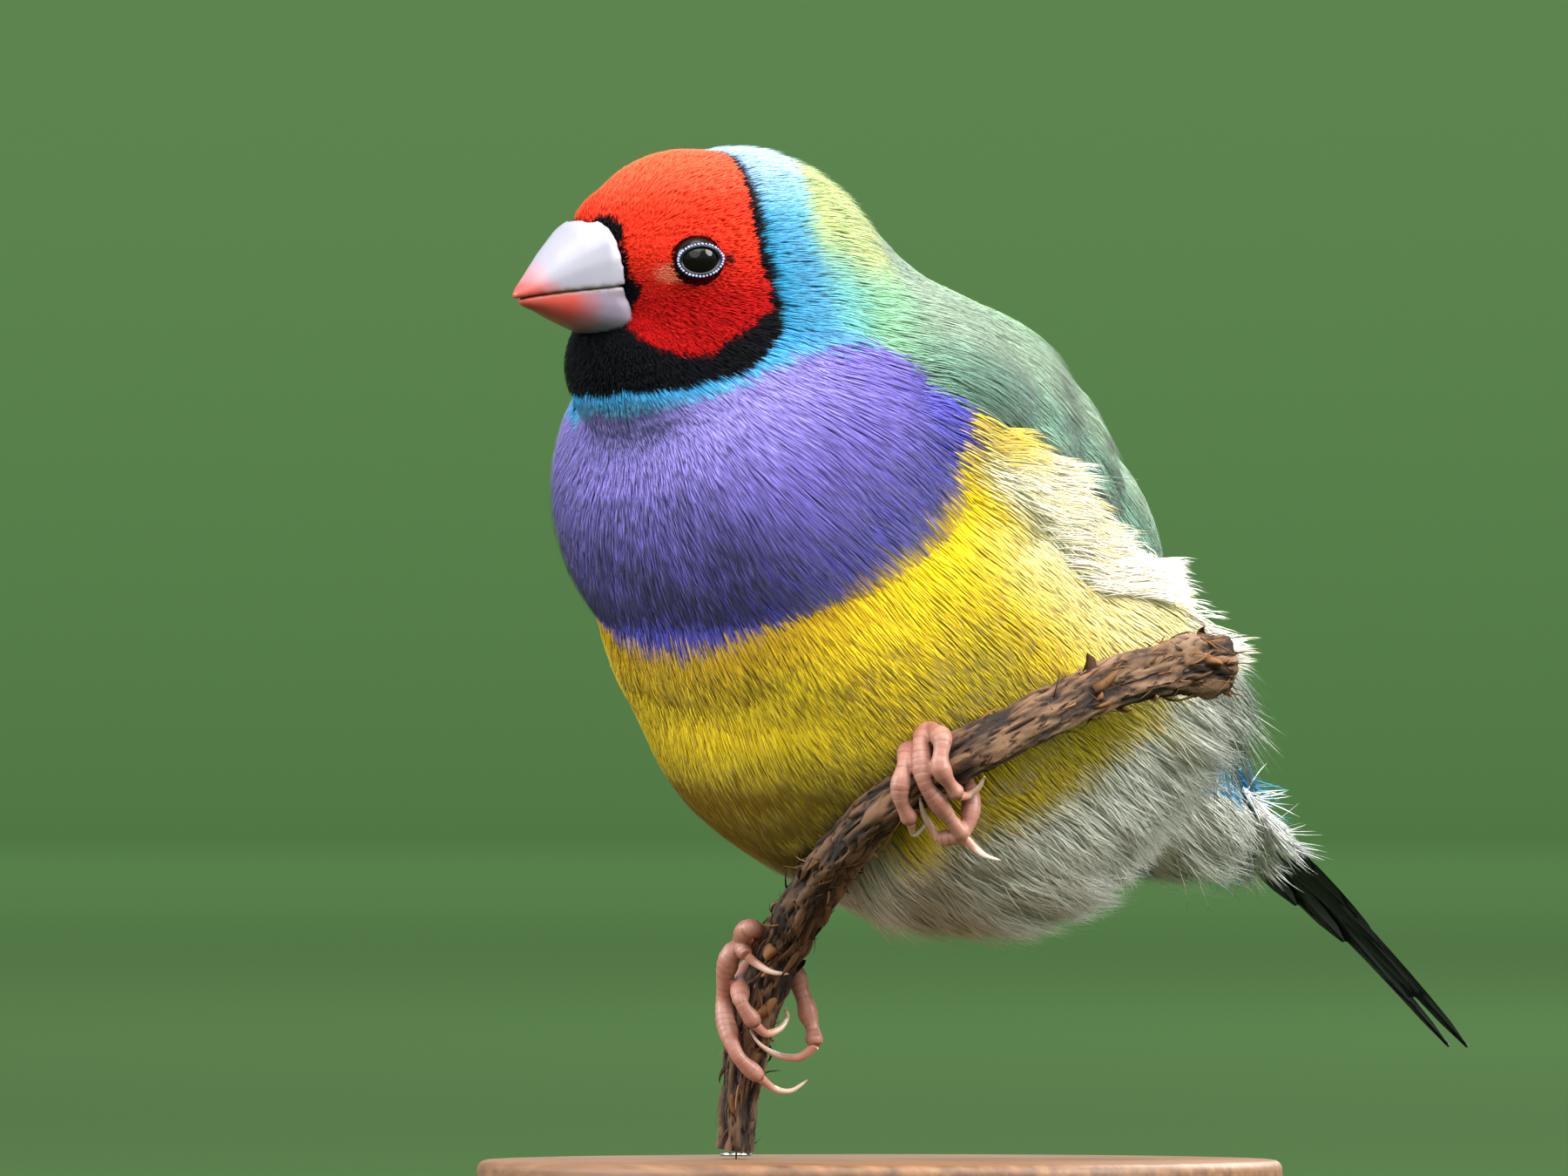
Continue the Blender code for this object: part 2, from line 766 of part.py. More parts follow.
def on_twig(across, up, side, lift):
    """A point at that place in the view which rests on the twig: in front of it, behind it, or beside it."""
    line = twig_line()
    flat = np.hypot(*(view_places(line)[:, k] - v for k, v in ((0, across), (1, up))))
    start = view_places(line)[int(np.argmin(flat)), 2]
    step = {"f": -0.05, "t": -0.05, "s": -0.05, "b": 0.05}[side]
    away = start - 0.8 if side == "s" else start
    for _ in range(200):
        point = view_point(across, away, up)
        gaps = np.linalg.norm(line[:, :3] - point, axis=1) - line[:, 3]
        if gaps.min() >= lift:
            break
        away += step
    return point


def view_places(points):
    """Across, up and away of design points in the view."""
    c, s = math.cos(VIEW_AZIMUTH), math.sin(VIEW_AZIMUTH)
    across = TORSO_ACROSS + points[:, 0] * c + points[:, 1] * s
    return np.stack((across, points[:, 2], points[:, 1] * c - points[:, 0] * s), axis=1)


# Toes and then claws as routes in the view, across and up, with f in front of the twig, b behind it,
# s beside it and t on top of it. They start at the ball of the foot.
TOES = {
    "left": {
        "inner": (
            ((13.0, -12.8, "t"), (11.8, -14.0, "f"), (11.0, -16.2, "f"), (10.6, -19.0, "f"), (11.6, -21.4, "f")),
            ((11.7, -22.3, "s"), (12.0, -22.5, "b"), (12.6, -22.0, "b"), (13.0, -21.2, "b")),
        ),
        "middle": (
            ((13.0, -12.8, "t"), (12.5, -14.2, "f"), (12.8, -17.6, "f"), (14.2, -19.8, "s"), (16.5, -22.8, "s")),
            ((17.5, -23.8, "s"), (18.5, -24.5, "s"), (19.8, -24.9, "s")),
        ),
        "outer": (
            ((13.0, -12.8, "t"), (14.4, -13.8, "f"), (14.3, -16.4, "f"), (15.9, -19.0, "f")),
            ((16.9, -18.9, "s"), (17.8, -18.2, "s"), (18.3, -17.2, "s")),
        ),
        "hind": (
            ((13.0, -12.8, "t"), (15.2, -14.6, "b"), (17.0, -19.0, "b"), (16.4, -22.3, "s"), (14.1, -22.9, "s")),
            ((13.3, -21.7, "s"), (12.7, -20.5, "f"), (12.4, -19.2, "f")),
        ),
    },
    "right": {
        "inner": (
            ((-0.6, -33.0, "b"), (-2.9, -31.2, "s"), (-4.1, -32.4, "s"), (-3.4, -33.7, "f")),
            ((-2.6, -34.4, "f"), (-1.2, -35.2, "f"), (0.4, -35.4, "f")),
        ),
        "middle": (
            ((-0.6, -33.0, "b"), (-4.6, -33.4, "s"), (-5.5, -38.0, "s"), (-4.5, -42.5, "f"), (-2.2, -45.0, "f")),
            ((-0.9, -46.0, "s"), (0.6, -46.2, "s"), (2.2, -45.2, "s")),
        ),
        "outer": (
            ((-0.6, -33.0, "b"), (-3.2, -35.0, "b"), (-4.0, -37.6, "s"), (-2.6, -40.1, "f")),
            ((-1.6, -40.9, "f"), (-0.3, -40.4, "s"), (0.3, -39.4, "s"), (0.1, -38.6, "s")),
        ),
        "hind": (
            ((-0.6, -33.0, "b"), (1.2, -36.0, "b"), (2.4, -39.8, "b"), (2.9, -42.0, "s")),
            ((1.4, -43.1, "s"), (-0.6, -42.9, "f"), (-2.2, -41.9, "f"), (-3.1, -40.6, "f")),
        ),
    },
}
TOE_RADIUS = 0.85
CLAW_RADIUS = 0.44
CLAW_TIP = 0.12
SHIN_TOP = {"left": (12.6, -8.0, -8.5), "right": (-5.0, -2.5, -25.0)}
SHIN_RADIUS = 1.0


def toe(name, route):
    line = smooth_line(route, 1.3)
    count = len(line)
    radii = []
    for i in range(count):
        t = i / (count - 1)
        knuckle = 0.09 * math.cos(2 * math.pi * 3 * t)
        taper = 1.12 - 0.26 * t
        radii.append(TOE_RADIUS * (taper + knuckle) * (0.72 if i == count - 1 else 1))
    return tube(name, line, radii, 7)


def claw(name, route):
    line = smooth_line(route, 1.1)
    count = len(line)
    radii = [
        CLAW_RADIUS + (CLAW_TIP - CLAW_RADIUS) * (i / (count - 1)) ** 1.4
        for i in range(count)
    ]
    return tube(name, line, radii, 5)


def leg(side_name):
    """Tarsus and toes as one piece of scaled skin, and the four claws."""

    def route(knots, lift):
        return [tuple(on_twig(*knot, lift)) for knot in knots]

    lift = TOE_RADIUS + GAP
    ball = route(TOES[side_name]["middle"][0][:1], lift + 0.4)[0]
    shin = [SHIN_TOP[side_name], ball]
    pieces = [
        tube("shin_" + side_name, shin, [SHIN_RADIUS] * 2, 8),
        ellipsoid("ball_" + side_name, ball, (1.4, 1.4, 1.4), 0, 0, 6, 8),
    ]
    claws = []
    for toe_name, (knots, claw_knots) in TOES[side_name].items():
        path = [ball] + route(knots[1:], lift)
        pieces.append(toe(f"toe_{side_name}_{toe_name}", path))
        nail = [path[-1]] + route(claw_knots, CLAW_RADIUS + 0.1)
        claws.append(claw(f"claw_{side_name}_{toe_name}", nail))
    foot = fuse("leg_" + side_name, pieces)
    thin_out(foot, LEG_FACES)
    for nail in claws:
        cut_clear(nail, foot, 0.15)
    return foot, claws


def base():
    profile = [(0.0, 0.0), (BASE_RADIUS - BASE_BEVEL, 0.0), (BASE_RADIUS, BASE_BEVEL)]
    profile += [(BASE_RADIUS, BASE_THICK - BASE_BEVEL * 1.6)]
    profile += [(BASE_RADIUS - BASE_BEVEL * 1.6, BASE_THICK), (0.0, BASE_THICK)]
    sides = 56
    rings = []
    for radius, height in profile[1:-1]:
        rings.append(
            [
                (
                    BASE_CENTRE[0] + radius * math.cos(2 * math.pi * k / sides),
                    BASE_CENTRE[1] + radius * math.sin(2 * math.pi * k / sides),
                    FLOOR_Z + height,
                )
                for k in range(sides)
            ]
        )
    return loft("stand_base", rings)


def rod():
    """A short steel pin from the base to the twig's lower cut end."""
    foot = view_point(*TWIG_ROUTE[0][:3])
    top = foot[2] - GAP
    bottom = FLOOR_Z + BASE_THICK + GAP
    return tube(
        "stand_rod",
        [(foot[0], foot[1], bottom), (foot[0], foot[1], top)],
        [ROD_RADIUS] * 2,
        24,
    )


def paint(obj, material):
    obj.data.materials.clear()
    obj.data.materials.append(material)
    for polygon in obj.data.polygons:
        polygon.use_smooth = True
    obj.data.set_sharp_from_angle(angle=math.radians(40))


# The planes that part head, neck and torso: a point, and the direction towards the bill.
HEAD_CUT = ((-3.0, 0.0, 0.0), (0.83, 0.0, 0.55))
NECK_CUT = ((0.0, -19.0, 16.0), (0.0, -0.72, 0.69))


def part_body(body):
    """Parts the whole body into head, neck and torso with thin flat cuts."""
    place = Vector(head_point(*HEAD_CUT[0]))
    head_way = (Vector(head_point(*HEAD_CUT[1])) - HEAD_CENTRE).normalized()
    neck_place = Vector(NECK_CUT[0])
    neck_way = Vector(NECK_CUT[1]).normalized()
    half = GAP / 2
    head = copy_of(body, "head")
    keep_side(head, place + head_way * half, -head_way)
    neck = copy_of(body, "neck")
    keep_side(neck, place - head_way * half, head_way)
    keep_side(neck, neck_place + neck_way * half, -neck_way)
    torso = copy_of(body, "torso")
    keep_side(torso, neck_place - neck_way * half, neck_way)
    return head, neck, torso


def build():
    clear_scene()
    perch = twig()
    body = whole_body()
    left_leg, left_claws = leg("left")
    right_leg, right_claws = leg("right")
    tail_piece = tail()
    for side in (1, -1):
        bed = wing_bed("bed", side)
        boolean(body, bed, "DIFFERENCE")
        remove(bed)
    keep_largest(body)
    cut_clear(body, perch)
    head, neck, torso = part_body(body)
    wings = [wing("left", 1), wing("right", -1)]
    for piece in (tail_piece, left_leg, right_leg, *left_claws, *right_claws):
        cut_clear(piece, body)
    for piece in wings:
        cut_clear(tail_piece, piece)
    for piece in (left_leg, right_leg, *left_claws, *right_claws):
        cut_clear(piece, perch, 0.2)
    upper, lower = bill_half("bill_upper", True), bill_half("bill_lower", False)
    eyes = [eye("eye_left", 1), eye("eye_right", -1)]
    lids = [eyelid("lid_left", 1), eyelid("lid_right", -1)]
    head = fuse("head", [head, *lids])
    for ball in eyes:
        socket = swollen(ball, 0.12)
        boolean(head, socket, "DIFFERENCE")
        remove(socket)
    for mandible in (upper, lower):
        cut_clear(mandible, head)
    remove(body)
    stand = base()
    pin = rod()
    finishes = {
        "scarlet_plumage": (SCARLET, 0.6, [head]),
        "sky_plumage": (SKY, 0.6, [neck]),
        "violet_plumage": (VIOLET, 0.6, [torso]),
        "green_plumage": (LEAF, 0.55, wings),
        "black_plumage": (INK, 0.5, [tail_piece]),
        "ivory_bill": (IVORY, 0.35, [upper, lower]),
        "dark_eye": (INK, 0.08, eyes),
        "leg_skin": (FLESH, 0.5, [left_leg, right_leg]),
        "claw_horn": (HORN, 0.35, left_claws + right_claws),
        "bark": (BARK, 0.9, [perch]),
        "waxed_wood": (OAK, 0.45, [stand]),
    }
    for name, (colour, roughness, pieces) in finishes.items():
        material = finish_of(name, colour, roughness)
        for piece in pieces:
            paint(piece, material)
    paint(pin, finish_of("brushed_steel", STEEL, 0.3, 1.0))


build()
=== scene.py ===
import math
import bpy
import numpy as np
from mathutils import Matrix, Vector, noise
from mathutils.bvhtree import BVHTree
from mathutils.kdtree import KDTree


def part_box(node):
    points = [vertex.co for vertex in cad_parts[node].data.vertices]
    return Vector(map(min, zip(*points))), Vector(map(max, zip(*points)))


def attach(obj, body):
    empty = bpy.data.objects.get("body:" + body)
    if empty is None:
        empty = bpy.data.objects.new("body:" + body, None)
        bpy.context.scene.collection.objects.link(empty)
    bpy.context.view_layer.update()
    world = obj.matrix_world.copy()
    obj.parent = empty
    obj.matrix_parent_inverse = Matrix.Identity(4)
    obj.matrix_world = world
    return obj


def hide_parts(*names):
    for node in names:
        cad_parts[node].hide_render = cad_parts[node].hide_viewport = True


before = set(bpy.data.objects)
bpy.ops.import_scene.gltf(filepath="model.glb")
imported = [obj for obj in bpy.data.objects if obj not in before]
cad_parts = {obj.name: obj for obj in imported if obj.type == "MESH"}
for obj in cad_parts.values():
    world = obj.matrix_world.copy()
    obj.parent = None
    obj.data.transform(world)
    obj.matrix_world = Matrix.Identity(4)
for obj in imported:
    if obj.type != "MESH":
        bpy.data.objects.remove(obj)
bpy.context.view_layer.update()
print("frame loaded:", len(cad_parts), "nodes")

mm = 0.001
designOrigin = np.array((0.0, -1.0, -57.5))  # design millimetres are counted from the torso's middle
viewAzimuth = math.radians(46.0)
viewShift = 9.5  # the design's middle is this far right of the view's middle, in millimetres


# small helpers

def toRow(points):
    return (np.asarray(points, float) - designOrigin) * mm


def toDesign(points):
    return np.asarray(points, float) / mm + designOrigin


def linear(hexColour):  # sRGB hex to linear
    parts = [int(hexColour[i:i + 2], 16) / 255 for i in (1, 3, 5)]
    return np.array([c / 12.92 if c <= 0.04045 else ((c + 0.055) / 1.055) ** 2.4 for c in parts])


def unit(vectors):
    return vectors / np.maximum(np.linalg.norm(vectors, axis=-1, keepdims=True), 1e-9)


def alongSurface(way, normal):  # a direction laid flat on the surface
    return unit(way - normal * np.sum(way * normal, axis=1)[:, None])


def ease(value, start, end):  # 0 before start, 1 after end, smooth between
    t = np.clip((value - start) / (end - start), 0.0, 1.0)
    return t * t * (3 - 2 * t)


def between(first, second, share):
    return first * (1 - share) + second * share


def mix(first, second, share):  # the same for rows of colours or directions
    return between(first, second, np.asarray(share)[..., None])


def lengthAlong(points):  # how far along a line each of its points lies
    return np.concatenate(([0], np.cumsum(np.linalg.norm(np.diff(points, axis=0), axis=1))))


def nearestOf(points, places):  # for each place, the number of the nearest point
    tree = KDTree(len(points))
    for i, p in enumerate(points):
        tree.insert(Vector(p), i)
    tree.balance()
    return np.array([tree.find(Vector(p))[1] for p in places])


def deselectAll():
    if bpy.context.object and bpy.context.object.mode != "OBJECT":
        bpy.ops.object.mode_set(mode="OBJECT")
    bpy.ops.object.select_all(action="DESELECT")


def pick(*objects):
    deselectAll()
    for obj in objects:
        obj.hide_viewport = False
        obj.select_set(True)
    bpy.context.view_layer.objects.active = objects[0]


def editAll(obj, operator, **settings):  # runs an edit mode operator on the whole mesh
    pick(obj)
    bpy.ops.object.mode_set(mode="EDIT")
    bpy.ops.mesh.select_all(action="SELECT")
    operator(**settings)
    bpy.ops.object.mode_set(mode="OBJECT")


def useModifier(obj, kind, **settings):  # adds a modifier, sets it and applies it
    pick(obj)
    bpy.ops.object.modifier_add(type=kind)
    modifier = obj.modifiers[-1]
    for key, value in settings.items():
        setattr(modifier, key, value)
    bpy.ops.object.modifier_apply(modifier=modifier.name)


def remeshed(obj, voxel, iterations, factor=0.5):  # one even closed surface, voxel in millimetres
    useModifier(obj, "REMESH", mode="VOXEL", voxel_size=voxel * mm, adaptivity=0.0)
    useModifier(obj, "SMOOTH", factor=factor, iterations=iterations)


def joinPieces(objects, name):
    pick(*objects)
    if len(objects) > 1:
        bpy.ops.object.join()
    joined = bpy.context.active_object
    joined.name = joined.data.name = name
    return joined


def workingCopy(nodes, name):  # a merged copy of CAD nodes as one object
    pick(*[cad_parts[n] for n in nodes])
    bpy.ops.object.duplicate()
    obj = joinPieces(list(bpy.context.selected_objects), name)
    for key in list(obj.keys()):
        del obj[key]
    obj.parent = None
    obj.data.materials.clear()
    editAll(obj, bpy.ops.mesh.remove_doubles, threshold=2e-6)
    editAll(obj, bpy.ops.mesh.normals_make_consistent, inside=False)
    return obj


def newObject(name, data):
    obj = bpy.data.objects.new(name, data)
    bpy.context.scene.collection.objects.link(obj)
    return obj


def modelled(operator, name, location=(0, 0, 0), **settings):  # a primitive, with its place, turn and scale applied
    deselectAll()
    operator(location=location, **settings)
    obj = bpy.context.active_object
    obj.name = name
    bpy.ops.object.transform_apply(location=True, rotation=True, scale=True)
    return obj


def verticesOf(obj, key="co"):
    values = np.empty(len(obj.data.vertices) * 3)
    obj.data.vertices.foreach_get(key, values)
    return values.reshape(-1, 3)


def moveVertices(obj, points):
    obj.data.vertices.foreach_set("co", np.ascontiguousarray(points, float).ravel())
    obj.data.update()


def paintVertices(obj, colours, name="featherTint"):
    layer = obj.data.color_attributes.new(name, "FLOAT_COLOR", "POINT")
    full = np.ones((len(obj.data.vertices), 4))
    full[:, :3] = colours
    layer.data.foreach_set("color", full.ravel())


def smoothShade(obj, degrees):
    pick(obj)
    bpy.ops.object.shade_smooth_by_angle(angle=math.radians(degrees))


def finishPiece(obj, degrees, material, slotName, *nodes):  # shading, material and the nodes it stands for; slotName is not used
    if degrees:
        smoothShade(obj, degrees)
    obj.data.materials.clear()
    obj.data.materials.append(material)
    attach(obj, "root")
    if nodes:
        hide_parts(*nodes)


def surfaceTree(objects):  # a search tree over several meshes, in design millimetres
    points, faces = [], []
    for obj in objects:
        start = len(points)
        points += [Vector(p) for p in toDesign(verticesOf(obj))]
        faces += [[start + i for i in face.vertices] for face in obj.data.polygons]
    return BVHTree.FromPolygons(points, faces)


# charts of the bird: the head's own axes, the folded wing's surface and the tail's plane

headTurn = np.array(Matrix.Rotation(math.radians(-11), 3, "Z") @ Matrix.Rotation(math.radians(4), 3, "X"))
headCentre = np.array((0.5, -25.9, 29.8))
wingPitch, tailPitch = math.radians(37), math.radians(33)
wingAxis = np.array((0, -math.cos(wingPitch), math.sin(wingPitch)))
wingBack = np.array((0, math.sin(wingPitch), math.cos(wingPitch)))
wingHub = np.array((0.0, 0.0, -3.0))
sideways = np.array((1.0, 0, 0))
bothSides = (("left", 1), ("right", -1))
wingPlaces = (-60, -50, -40, -30, -22, -12, -6, 0, 6, 12, 19, 25)
wingRadii = (11.5, 13.6, 16.4, 19.2, 21.4, 23.9, 25.7, 27.2, 28.1, 28.0, 26.8, 25.2)
tailAxis = np.array((0, math.cos(tailPitch), -math.sin(tailPitch)))
tailUp = np.array((0, math.sin(tailPitch), math.cos(tailPitch)))
tailRoot = np.array((0.0, 33.0, -12.5))
tailDroop = 0.0012  # millimetres down for each square millimetre along
eyeCentre = (4.1, 7.75, 0.4)  # forward, side and up from the head's centre
eyeTurn = math.radians(20)  # the eyes look this far forward


def turnsOf(count):  # angles evenly round a circle
    return [2 * math.pi * k / count for k in range(count)]


def inView(across, away, up):  # turned from the camera's own axes into the frame's
    c, s = math.cos(viewAzimuth), math.sin(viewAzimuth)
    return np.array((across * c - away * s, across * s + away * c, up))


def viewPoint(across, away, up):
    return inView(across - viewShift, away, up)


def headPoint(forward, side, up):
    return headTurn @ np.array((side, -forward, up)) + headCentre


def headPlaces(points):  # forward, side and up of design points
    local = (points - headCentre) @ headTurn
    return -local[:, 1], local[:, 0], local[:, 2]


def chartRadius(along):
    return np.interp(along, wingPlaces, wingRadii)


def awayFromAxis(turn, side=1):  # straight out from the body's axis, at a turn from the back's middle
    t = np.radians(turn)[:, None]
    return np.cos(t) * wingBack + np.sin(t) * side * sideways


def wingPoint(along, turn, height):
    return wingHub + along[:, None] * wingAxis + awayFromAxis(turn) * (chartRadius(along) + height)[:, None]


def fromAxis(points):  # along the body's axis, and straight out from it
    along = (points - wingHub) @ wingAxis
    return along, points - wingHub - along[:, None] * wingAxis


def wingPlacesOf(points):  # along, turn from the back's middle and distance from the axis
    along, ray = fromAxis(points)
    return along, np.degrees(np.arctan2(ray[:, 0], ray @ wingBack)), np.linalg.norm(ray, axis=1)


def tailPoint(along, side, height):
    height = height - tailDroop * np.maximum(0.0, along) ** 2
    return tailRoot + along[:, None] * tailAxis + height[:, None] * tailUp + side[:, None] * sideways


billTree = surfaceTree([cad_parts["bill_upper"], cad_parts["bill_lower"]])


# the plumage's markings, as edges: (forward, side, up) from the head's centre, or pairs as noted

markings = {
    "maskEdge": ((-4.4, .9, 9.9), (-3.2, 5.9, 8), (-2.3, 8.4, 5.3), (-1.9, 9.5, 2.9), (-2.1, 9.9, .1),
                 (-3.0, 10.3, -2.5), (-2.9, 10.8, -4.7), (-.8, 11.0, -6.2), (1.7, 10.6, -7.9), (3.6, 9.6, -8.9),
                 (6.0, 8.8, -9.0), (7.3, 8.1, -8.5)),
    "bibEdge": ((-5, .9, 9.8), (-3.9, 5.8, 8), (-3.3, 8.3, 5.2), (-2.9, 9.7, 1.6), (-3.7, 10.5, -1.6),
                (-3.9, 11.2, -4.6), (-2.8, 11.8, -7.4), (-.5, 11.4, -9.4), (2.1, 10.3, -10.8), (5.3, 9.0, -11.7),
                (8.5, 7.4, -12.2), (11, 4.6, -12.2), (12, .1, -12.0)),
    "collarEdge": ((-10.4, 14.6, -8.8), (-4.4, 14.4, -10.3), (-.2, 12.8, -11.7), (3.3, 10.4, -12.8),
                   (6.8, 7.9, -13.5), (9.1, 5.4, -13.7), (11.1, .3, -13.6)),
    "violetEnd": ((60, 19.6), (66, 20.2), (68, 20.4), (74, 18.7), (85, 18), (97, 18.4), (109, 18.9), (133, 19.9),
                  (157, 20.2), (180, 20.5)),  # turn, along
    "yellowEnd": ((60, -12), (76, -12.5), (90, -15.6), (102, -13.6), (124, -12.2), (134, -10.4), (147, -8.1),
                  (160, -6.5), (180, -7.5)),
    "wingEdge": ((-60, 36), (-41, 42), (-36, 54), (-25, 80), (-17, 70), (-10, 60), (-2, 69), (4, 70.5), (10, 70),
                 (15, 69.4), (20, 69), (24.6, 64), (27, 60.4), (32, 52)),  # along, turn
}
tints = {key: linear(value) for key, value in {
    "scarlet": "#F0351C", "scarletPaintedShade": "#B40A0A", "scarletPaintedLight": "#FF6A42", "ink": "#06070C", "buff": "#E8A07A",
    "sky": "#2092C0", "skyBright": "#38A8E4", "skyPale": "#B0D6F4", "aqua": "#70C0BA", "mint": "#86BC8C",
    "lime": "#B0BE74", "sagePaintedSheen": "#889E87", "teal": "#5C8472", "olive": "#6C7C64", "leaf": "#4E9A48",
    "rump": "#3C9AC8", "violet": "#7E6ECE", "violetPaintedShade": "#4040B6", "lilacPaintedHighlight": "#B4A6EC", "yellow": "#F2CE04",
    "yellowDeep": "#CCA000", "yellowPaintedShade": "#9C8A00", "cream": "#FCEFB4", "creamWhite": "#FFF7DC",
    "ventWhitePaintedShade": "#C3C5BB", "white": "#FFFEFA", "tail": "#141518",
}.items()}
headSide = 4.0  # anything farther out than this lies on the side of the head


def blend(colour, *layers):  # lays named tints over a colour, each by its share
    for name, share in layers:
        colour = mix(colour, tints[name], share)
    return colour


def headPolar(points):  # turn round the head's axis from the crown, lean from the bill, distance
    forward, side, up = headPlaces(points)
    offset = np.stack((forward - 4.0, np.abs(side), up + 2.0), axis=1)
    reach = np.linalg.norm(offset, axis=1)
    turn = np.degrees(np.arctan2(offset[:, 1], offset[:, 2]))
    lean = np.degrees(np.arccos(np.clip(offset[:, 0] / np.maximum(reach, 1e-6), -1, 1)))
    return turn, lean, reach


def edgeLean(name, turn):
    edge = np.array(markings[name])
    points = np.array([headPoint(*p) for p in edge])
    t, lean, _ = headPolar(points)
    order = np.argsort(t)
    return np.interp(turn, t[order], lean[order])


def chartLine(name, value):
    edge = np.array(markings[name])
    return np.interp(value, edge[:, 0], edge[:, 1])


# colours of design points on the coat, and where they lie; each share fades between two places on the charts,
# in millimetres along or degrees of turn
def plumageTint(points, jitter=0.0, draw=None):
    wander = draw.normal(0, 1, (len(points), 3)) if draw is not None else np.zeros((len(points), 3))
    places = points + wander * jitter
    turn, lean, reach = headPolar(places)
    forward, side, up = headPlaces(places)
    along, roll, _ = wingPlacesOf(places)
    roll = np.abs(roll)
    maskLean = edgeLean("maskEdge", turn) * np.clip((131 - turn) / 2.5, 0, 1)  # the mask ends at the chin
    bibLean, collarLean = edgeLean("bibEdge", turn), edgeLean("collarEdge", turn)
    beyond = np.radians(lean - bibLean) * reach  # millimetres past the black line
    wingEdge = chartLine("wingEdge", along)
    onBack = roll < wingEdge
    onNape = (turn < np.where(side > 0, 114.5, 104.0)) | (onBack & (along < 30))
    upper = np.where(along > 24, onNape, onBack)

    # upper side from the black line to the rump
    crown = ease(up, 3.0, 9.0)
    # the back's and wing's grey-green sage is grass green under a painted greyish sheen
    sage = blend(tints["sagePaintedSheen"],
                 ("teal", ease(roll, 47, 58) * ease(along, -20, -4) * 0.8),
                 ("olive", 0.3 * ease(along, 2, -12) * ease(roll, 40, 52)),
                 ("leaf", ease(roll, 42, 10) * ease(along, 24, 8) * 0.85))
    upperTone = blend(tints["sky"],
                      ("skyPale", np.clip(ease(beyond, 0.0, 2.2) * 0.1 + 0.85 * crown, 0, 1)),
                      ("aqua", ease(beyond, 2.2, 4.6) * (1 - crown)),
                      ("lime", ease(beyond - 0.03 * (84 - turn), 2.4, 4.2) * ease(turn, 98, 60)),
                      ("mint", ease(beyond, 4.5, 8.0) * ease(turn, 70, 100) * 0.9),
                      ("lime", ease(beyond, 4.5, 9.0) * ease(turn, 104, 78)))
    upperTone = mix(upperTone, sage, ease(beyond + 0.09 * (turn - 90), 10.0, 14.0))
    upperTone = blend(upperTone, ("rump", ease(along, -17, -24) * ease(onWing(places), 0.6, 0.2)))

    # under side: violet breast, yellow belly, white vent and flank edge
    violetEnd, yellowEnd = chartLine("violetEnd", roll), chartLine("yellowEnd", roll)
    # the violet is painted deeper towards its lower edge and paler towards its top: painted shade below, painted
    # highlight above
    violet = blend(tints["violet"],
                   ("violetPaintedShade", ease(along, violetEnd + 9, violetEnd + 0.5) * 0.8),
                   ("lilacPaintedHighlight", 0.45 * ease(along, violetEnd + 8, violetEnd + 17)))
    yellow = blend(tints["yellow"],
                   ("yellowDeep", ease(along, violetEnd - 6, violetEnd - 0.5) * ease(roll, 100, 125)),
                   ("cream", 0.8 * ease(roll, 102, 76) * ease(along, 14, 6)),
                   # the lower belly's yellow is painted dark olive: painted shade
                   ("yellowPaintedShade", 0.8 * ease(along, 16, 2) * ease(roll, 92, 112)),
                   ("creamWhite", ease(roll - wingEdge, 12, 4) * ease(along, 19.0, 14.5)),
                   # the vent's white is painted grey: painted shade on the underside
                   ("ventWhitePaintedShade", ease(along, yellowEnd + 2.5, yellowEnd - 2.0)))
    underTone = mix(violet, yellow, ease(along, violetEnd + 0.7, violetEnd - 0.7))
    colour = np.where(upper[:, None], upperTone, underTone)

    # collar, black line and bib, then the scarlet mask; limit is how far from the head's axis they reach
    limit = np.where(side > 0, 24.0, 24.0 - 8.3 * ease(turn, 98, 106))
    collar = (turn >= 112) & (lean < collarLean) & (reach < limit + 2.0 * ease(turn, 142, 128))
    edgeTone = blend(tints["skyBright"], ("skyPale", ease(lean, bibLean, collarLean) * 0.3))
    colour = np.where(collar[:, None], edgeTone, colour)
    bib = (lean < bibLean) & (reach < limit)
    colour = np.where(bib[:, None], tints["ink"], colour)
    mask = (lean < maskLean) & (reach < limit - 1.2)
    # the scarlet is painted lighter towards the crown and darker low on the cheeks: painted highlight above, painted
    # shade below
    scarlet = blend(tints["scarlet"], ("scarletPaintedShade", ease(up, 2.5, -4.0)), ("scarletPaintedLight", ease(up, 4.5, 9.0) * 0.6))
    colour = np.where(mask[:, None], scarlet, colour)
    aroundEye = mask & (np.abs(side) > headSide)
    underEye = np.hypot((forward - 6.3) / 1.3, (up + 0.6) / 0.9)
    corner = np.hypot((forward - 1.5) / 0.8, (up - 0.3) / 0.5)
    colour = blend(colour, ("buff", np.where(aroundEye, ease(underEye, 1.3, 0.6) * 0.45, 0)),
                   ("ink", np.where(aroundEye, ease(corner, 1.1, 0.7) * 0.9, 0)))
